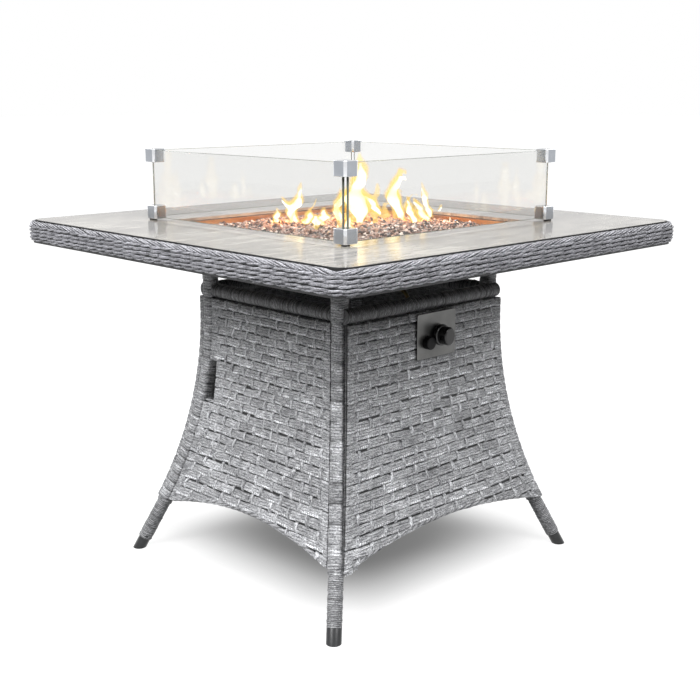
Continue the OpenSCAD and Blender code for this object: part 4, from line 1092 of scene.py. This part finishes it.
# flames, in millimetres: each tongue has a foot, and points up its swaying line as sideways, height and width
tongues = [
    ((-10, -50), [(-10, 0, 18), (-13, 21, 32), (-14, 50, 46), (-12, 75, 42), (-10, 98, 30), (-8, 118, 21),
                  (-8, 148, 8)]),
    ((-30, -20), [(-12, 4, 17), (-16, 28, 22), (-12, 53, 18), (-6, 74, 7)]),
    ((-85, -85), [(2, 0, 10), (2, 12, 18), (-4, 24, 12), (2, 40, 4)]),
    ((10, -60), [(12, 25, 10), (6, 40, 20), (-6, 56, 20), (-18, 73, 7)]),
    ((-70, 10), [(-2, 0, 14), (2, 19, 24), (6, 40, 6)]),
    ((-90, 50), [(10, 0, 12), (14, 18, 24), (20, 35, 6)]),
    ((-110, -10), [(2, 0, 14), (6, 14, 22), (2, 29, 6)]),
    ((-86, 86), [(6, 4, 14), (2, 29, 26), (8, 50, 24), (16, 68, 13), (21, 90, 4)]),
    ((-86, 86), [(2, 20, 14), (-6, 39, 19), (-14, 52, 13), (-22, 60, 4)]),
    ((-107, 107), [(-4, 0, 10), (-2, 19, 16), (-2, 37, 4)]),
    ((113, -36), [(0, 0, 20), (-2, 23, 30), (-8, 50, 34), (-11, 76, 30), (-4, 102, 23), (5, 114, 16),
                  (14, 102, 7)]),
    ((122, -86), [(-8, 2, 15), (-16, 25, 20), (-22, 46, 14), (-27, 64, 5)]),
    ((205, -52), [(-8, 0, 17), (-20, 18, 24), (-32, 36, 19), (-44, 56, 6)]),
    ((192, -12), [(30, 10, 10), (26, 34, 15), (18, 60, 13), (11, 88, 5)]),
    ((226, -30), [(-10, 26, 11), (4, 28, 13), (14, 27, 10), (20, 40, 4)]),
    ((-130, -100), [(0, 0, 10), (4, 12, 14), (2, 28, 3)]),
]
flame = {"rings": 30, "sides": 12, "thinnest": 0.0022, "sway": 0.14, "deep": 0.75, "root": 0.005, "wisps": 3,
         "wispAway": 0.012, "wispWider": 0.002, "smooth": 3}
pictureRight = np.array([0.720, -0.694])


# smooth line through a few points, at even steps
def smoothLine(points, count):
    t = np.linspace(0, len(points) - 1, count)
    slope = np.gradient(points, axis=0)
    i = np.minimum(t.astype(int), len(points) - 2)
    f = (t - i)[:, None]
    h1, h2 = 2 * f ** 3 - 3 * f ** 2 + 1, f ** 3 - 2 * f ** 2 + f
    return h1 * points[i] + h2 * slope[i] + (1 - h1) * points[i + 1] + (f ** 3 - f ** 2) * slope[i + 1]


# one tongue: a lobed tube whose width swells and narrows on its way up
def tongueTube(foot, line, share, reach, seed):
    luck = np.random.default_rng(seed)
    rings, sides = flame["rings"], flame["sides"]
    angle = np.arange(sides) * 2 * math.pi / sides
    line = smoothLine(line, rings)
    climb = np.linspace(0, 1, rings)
    ripple = 1 + 0.20 * np.sin(13 * climb + luck.uniform(0, 6))
    ripple += 0.12 * np.sin(29 * climb + luck.uniform(0, 6))
    radius = np.maximum(line[:, 2] * ripple, flame["thinnest"]) / 2 * share
    lobes = 1 + 0.2 * np.cos(2 * angle + luck.uniform(0, 6)) + 0.14 * np.cos(3 * angle + 9 * climb[:, None])
    sway = flame["sway"] * line[:, 2] * np.sin(9 * climb + luck.uniform(0, 6))
    side = (line[:, 0] + sway)[:, None] + radius[:, None] * lobes * np.cos(angle)
    deep = flame["deep"] * radius[:, None] * lobes * np.sin(angle)
    z = np.broadcast_to((bedHeight(*foot) - flame["root"] + line[:, 1] * reach)[:, None], side.shape)
    across = side[..., None] * pictureRight + deep[..., None] * pictureRight[::-1] * (-1, 1)
    points = np.concatenate([across + foot, z[..., None]], -1).reshape(-1, 3)
    return points, tubeFaces(rings, sides)


# thinner and lower wisps beside a tongue
def wispsOf(foot, line, seed):
    luck = np.random.default_rng(seed)
    wisps = []
    for k in range(flame["wisps"]):
        beside = luck.uniform(-0.75, 0.75) * line[:, 2].max()
        scale = (luck.uniform(0.3, 1.2), luck.uniform(0.35, 0.8), luck.uniform(0.2, 0.4))
        away = luck.normal(0, flame["wispAway"], 2)
        wisps.append((foot + away, line * scale + (beside, 0, flame["wispWider"])))
    return wisps


def lightFlames(name, shell):
    pile = Pile()
    for seed, (foot, line) in enumerate(tongues):
        tongue = (np.array(foot) / 1000, np.array(line) / 1000)
        wisps = wispsOf(*tongue, 50 + seed) if shell["wispy"] else []
        for k, part in enumerate([tongue, *wisps]):
            pile.lay(*tongueTube(*part, shell["share"], shell["reach"], 100 * seed + k))
    fire = pile.make(name, 0)
    bpy.context.view_layer.objects.active = fire
    fire.select_set(True)
    joined = fire.modifiers.new("join", "REMESH")
    joined.mode = "VOXEL"
    joined.voxel_size = shell["voxel"]
    bpy.ops.object.modifier_apply(modifier=joined.name)
    even = fire.modifiers.new("even", "SMOOTH")
    even.iterations = flame["smooth"]
    bpy.ops.object.modifier_apply(modifier=even.name)
    bpy.ops.object.shade_smooth()
    deselectAll()
    return fire


# burning gas: a thin glowing skin that is nearly clear, and a glow through its depth that hides what is
# behind, so thin edges are faint and thick parts bright
def flameMaterial(name, shell):
    glow, thickness = (*shell["glow"], 1), shell["thickness"]
    settings = {"Base Color": (0, 0, 0, 1), "Roughness": 1.0, "Specular IOR Level": 0.0,
                "Alpha": shell["skin"], "Emission Color": glow, "Emission Strength": 1.0}
    material, tree, _ = newMaterial(name, settings)
    shine = addNode(tree, "Emission", {"Color": glow, "Strength": thickness})
    stain = addNode(tree, "VolumeAbsorption", {"Color": (0, 0, 0, 1), "Density": thickness})
    fill(tree, tree.nodes["Material Output"], {"Volume": addNode(tree, "AddShader", {}, shine, stain)})
    return material


# from outside to inside: orange veil, yellow sheath, white heart
shells = {"veil": {"glow": (1.3, 0.70, 0.10), "thickness": 14.0, "skin": 0.04, "share": 1.1, "reach": 1.02,
                   "voxel": 0.0024, "wispy": True},
          "sheath": {"glow": (1.6, 1.12, 0.26), "thickness": 70.0, "skin": 0.06, "share": 0.92, "reach": 0.99,
                     "voxel": 0.0018, "wispy": True},
          "heart": {"glow": (3.2, 2.9, 2.2), "thickness": 240.0, "skin": 0.08, "share": 0.70, "reach": 0.86,
                    "voxel": 0.0018, "wispy": False}}
for name, shell in shells.items():
    dress(lightFlames("flame_" + name, shell), flameMaterial("burning gas, " + name, shell), "table", "flame")
print("flames lit")
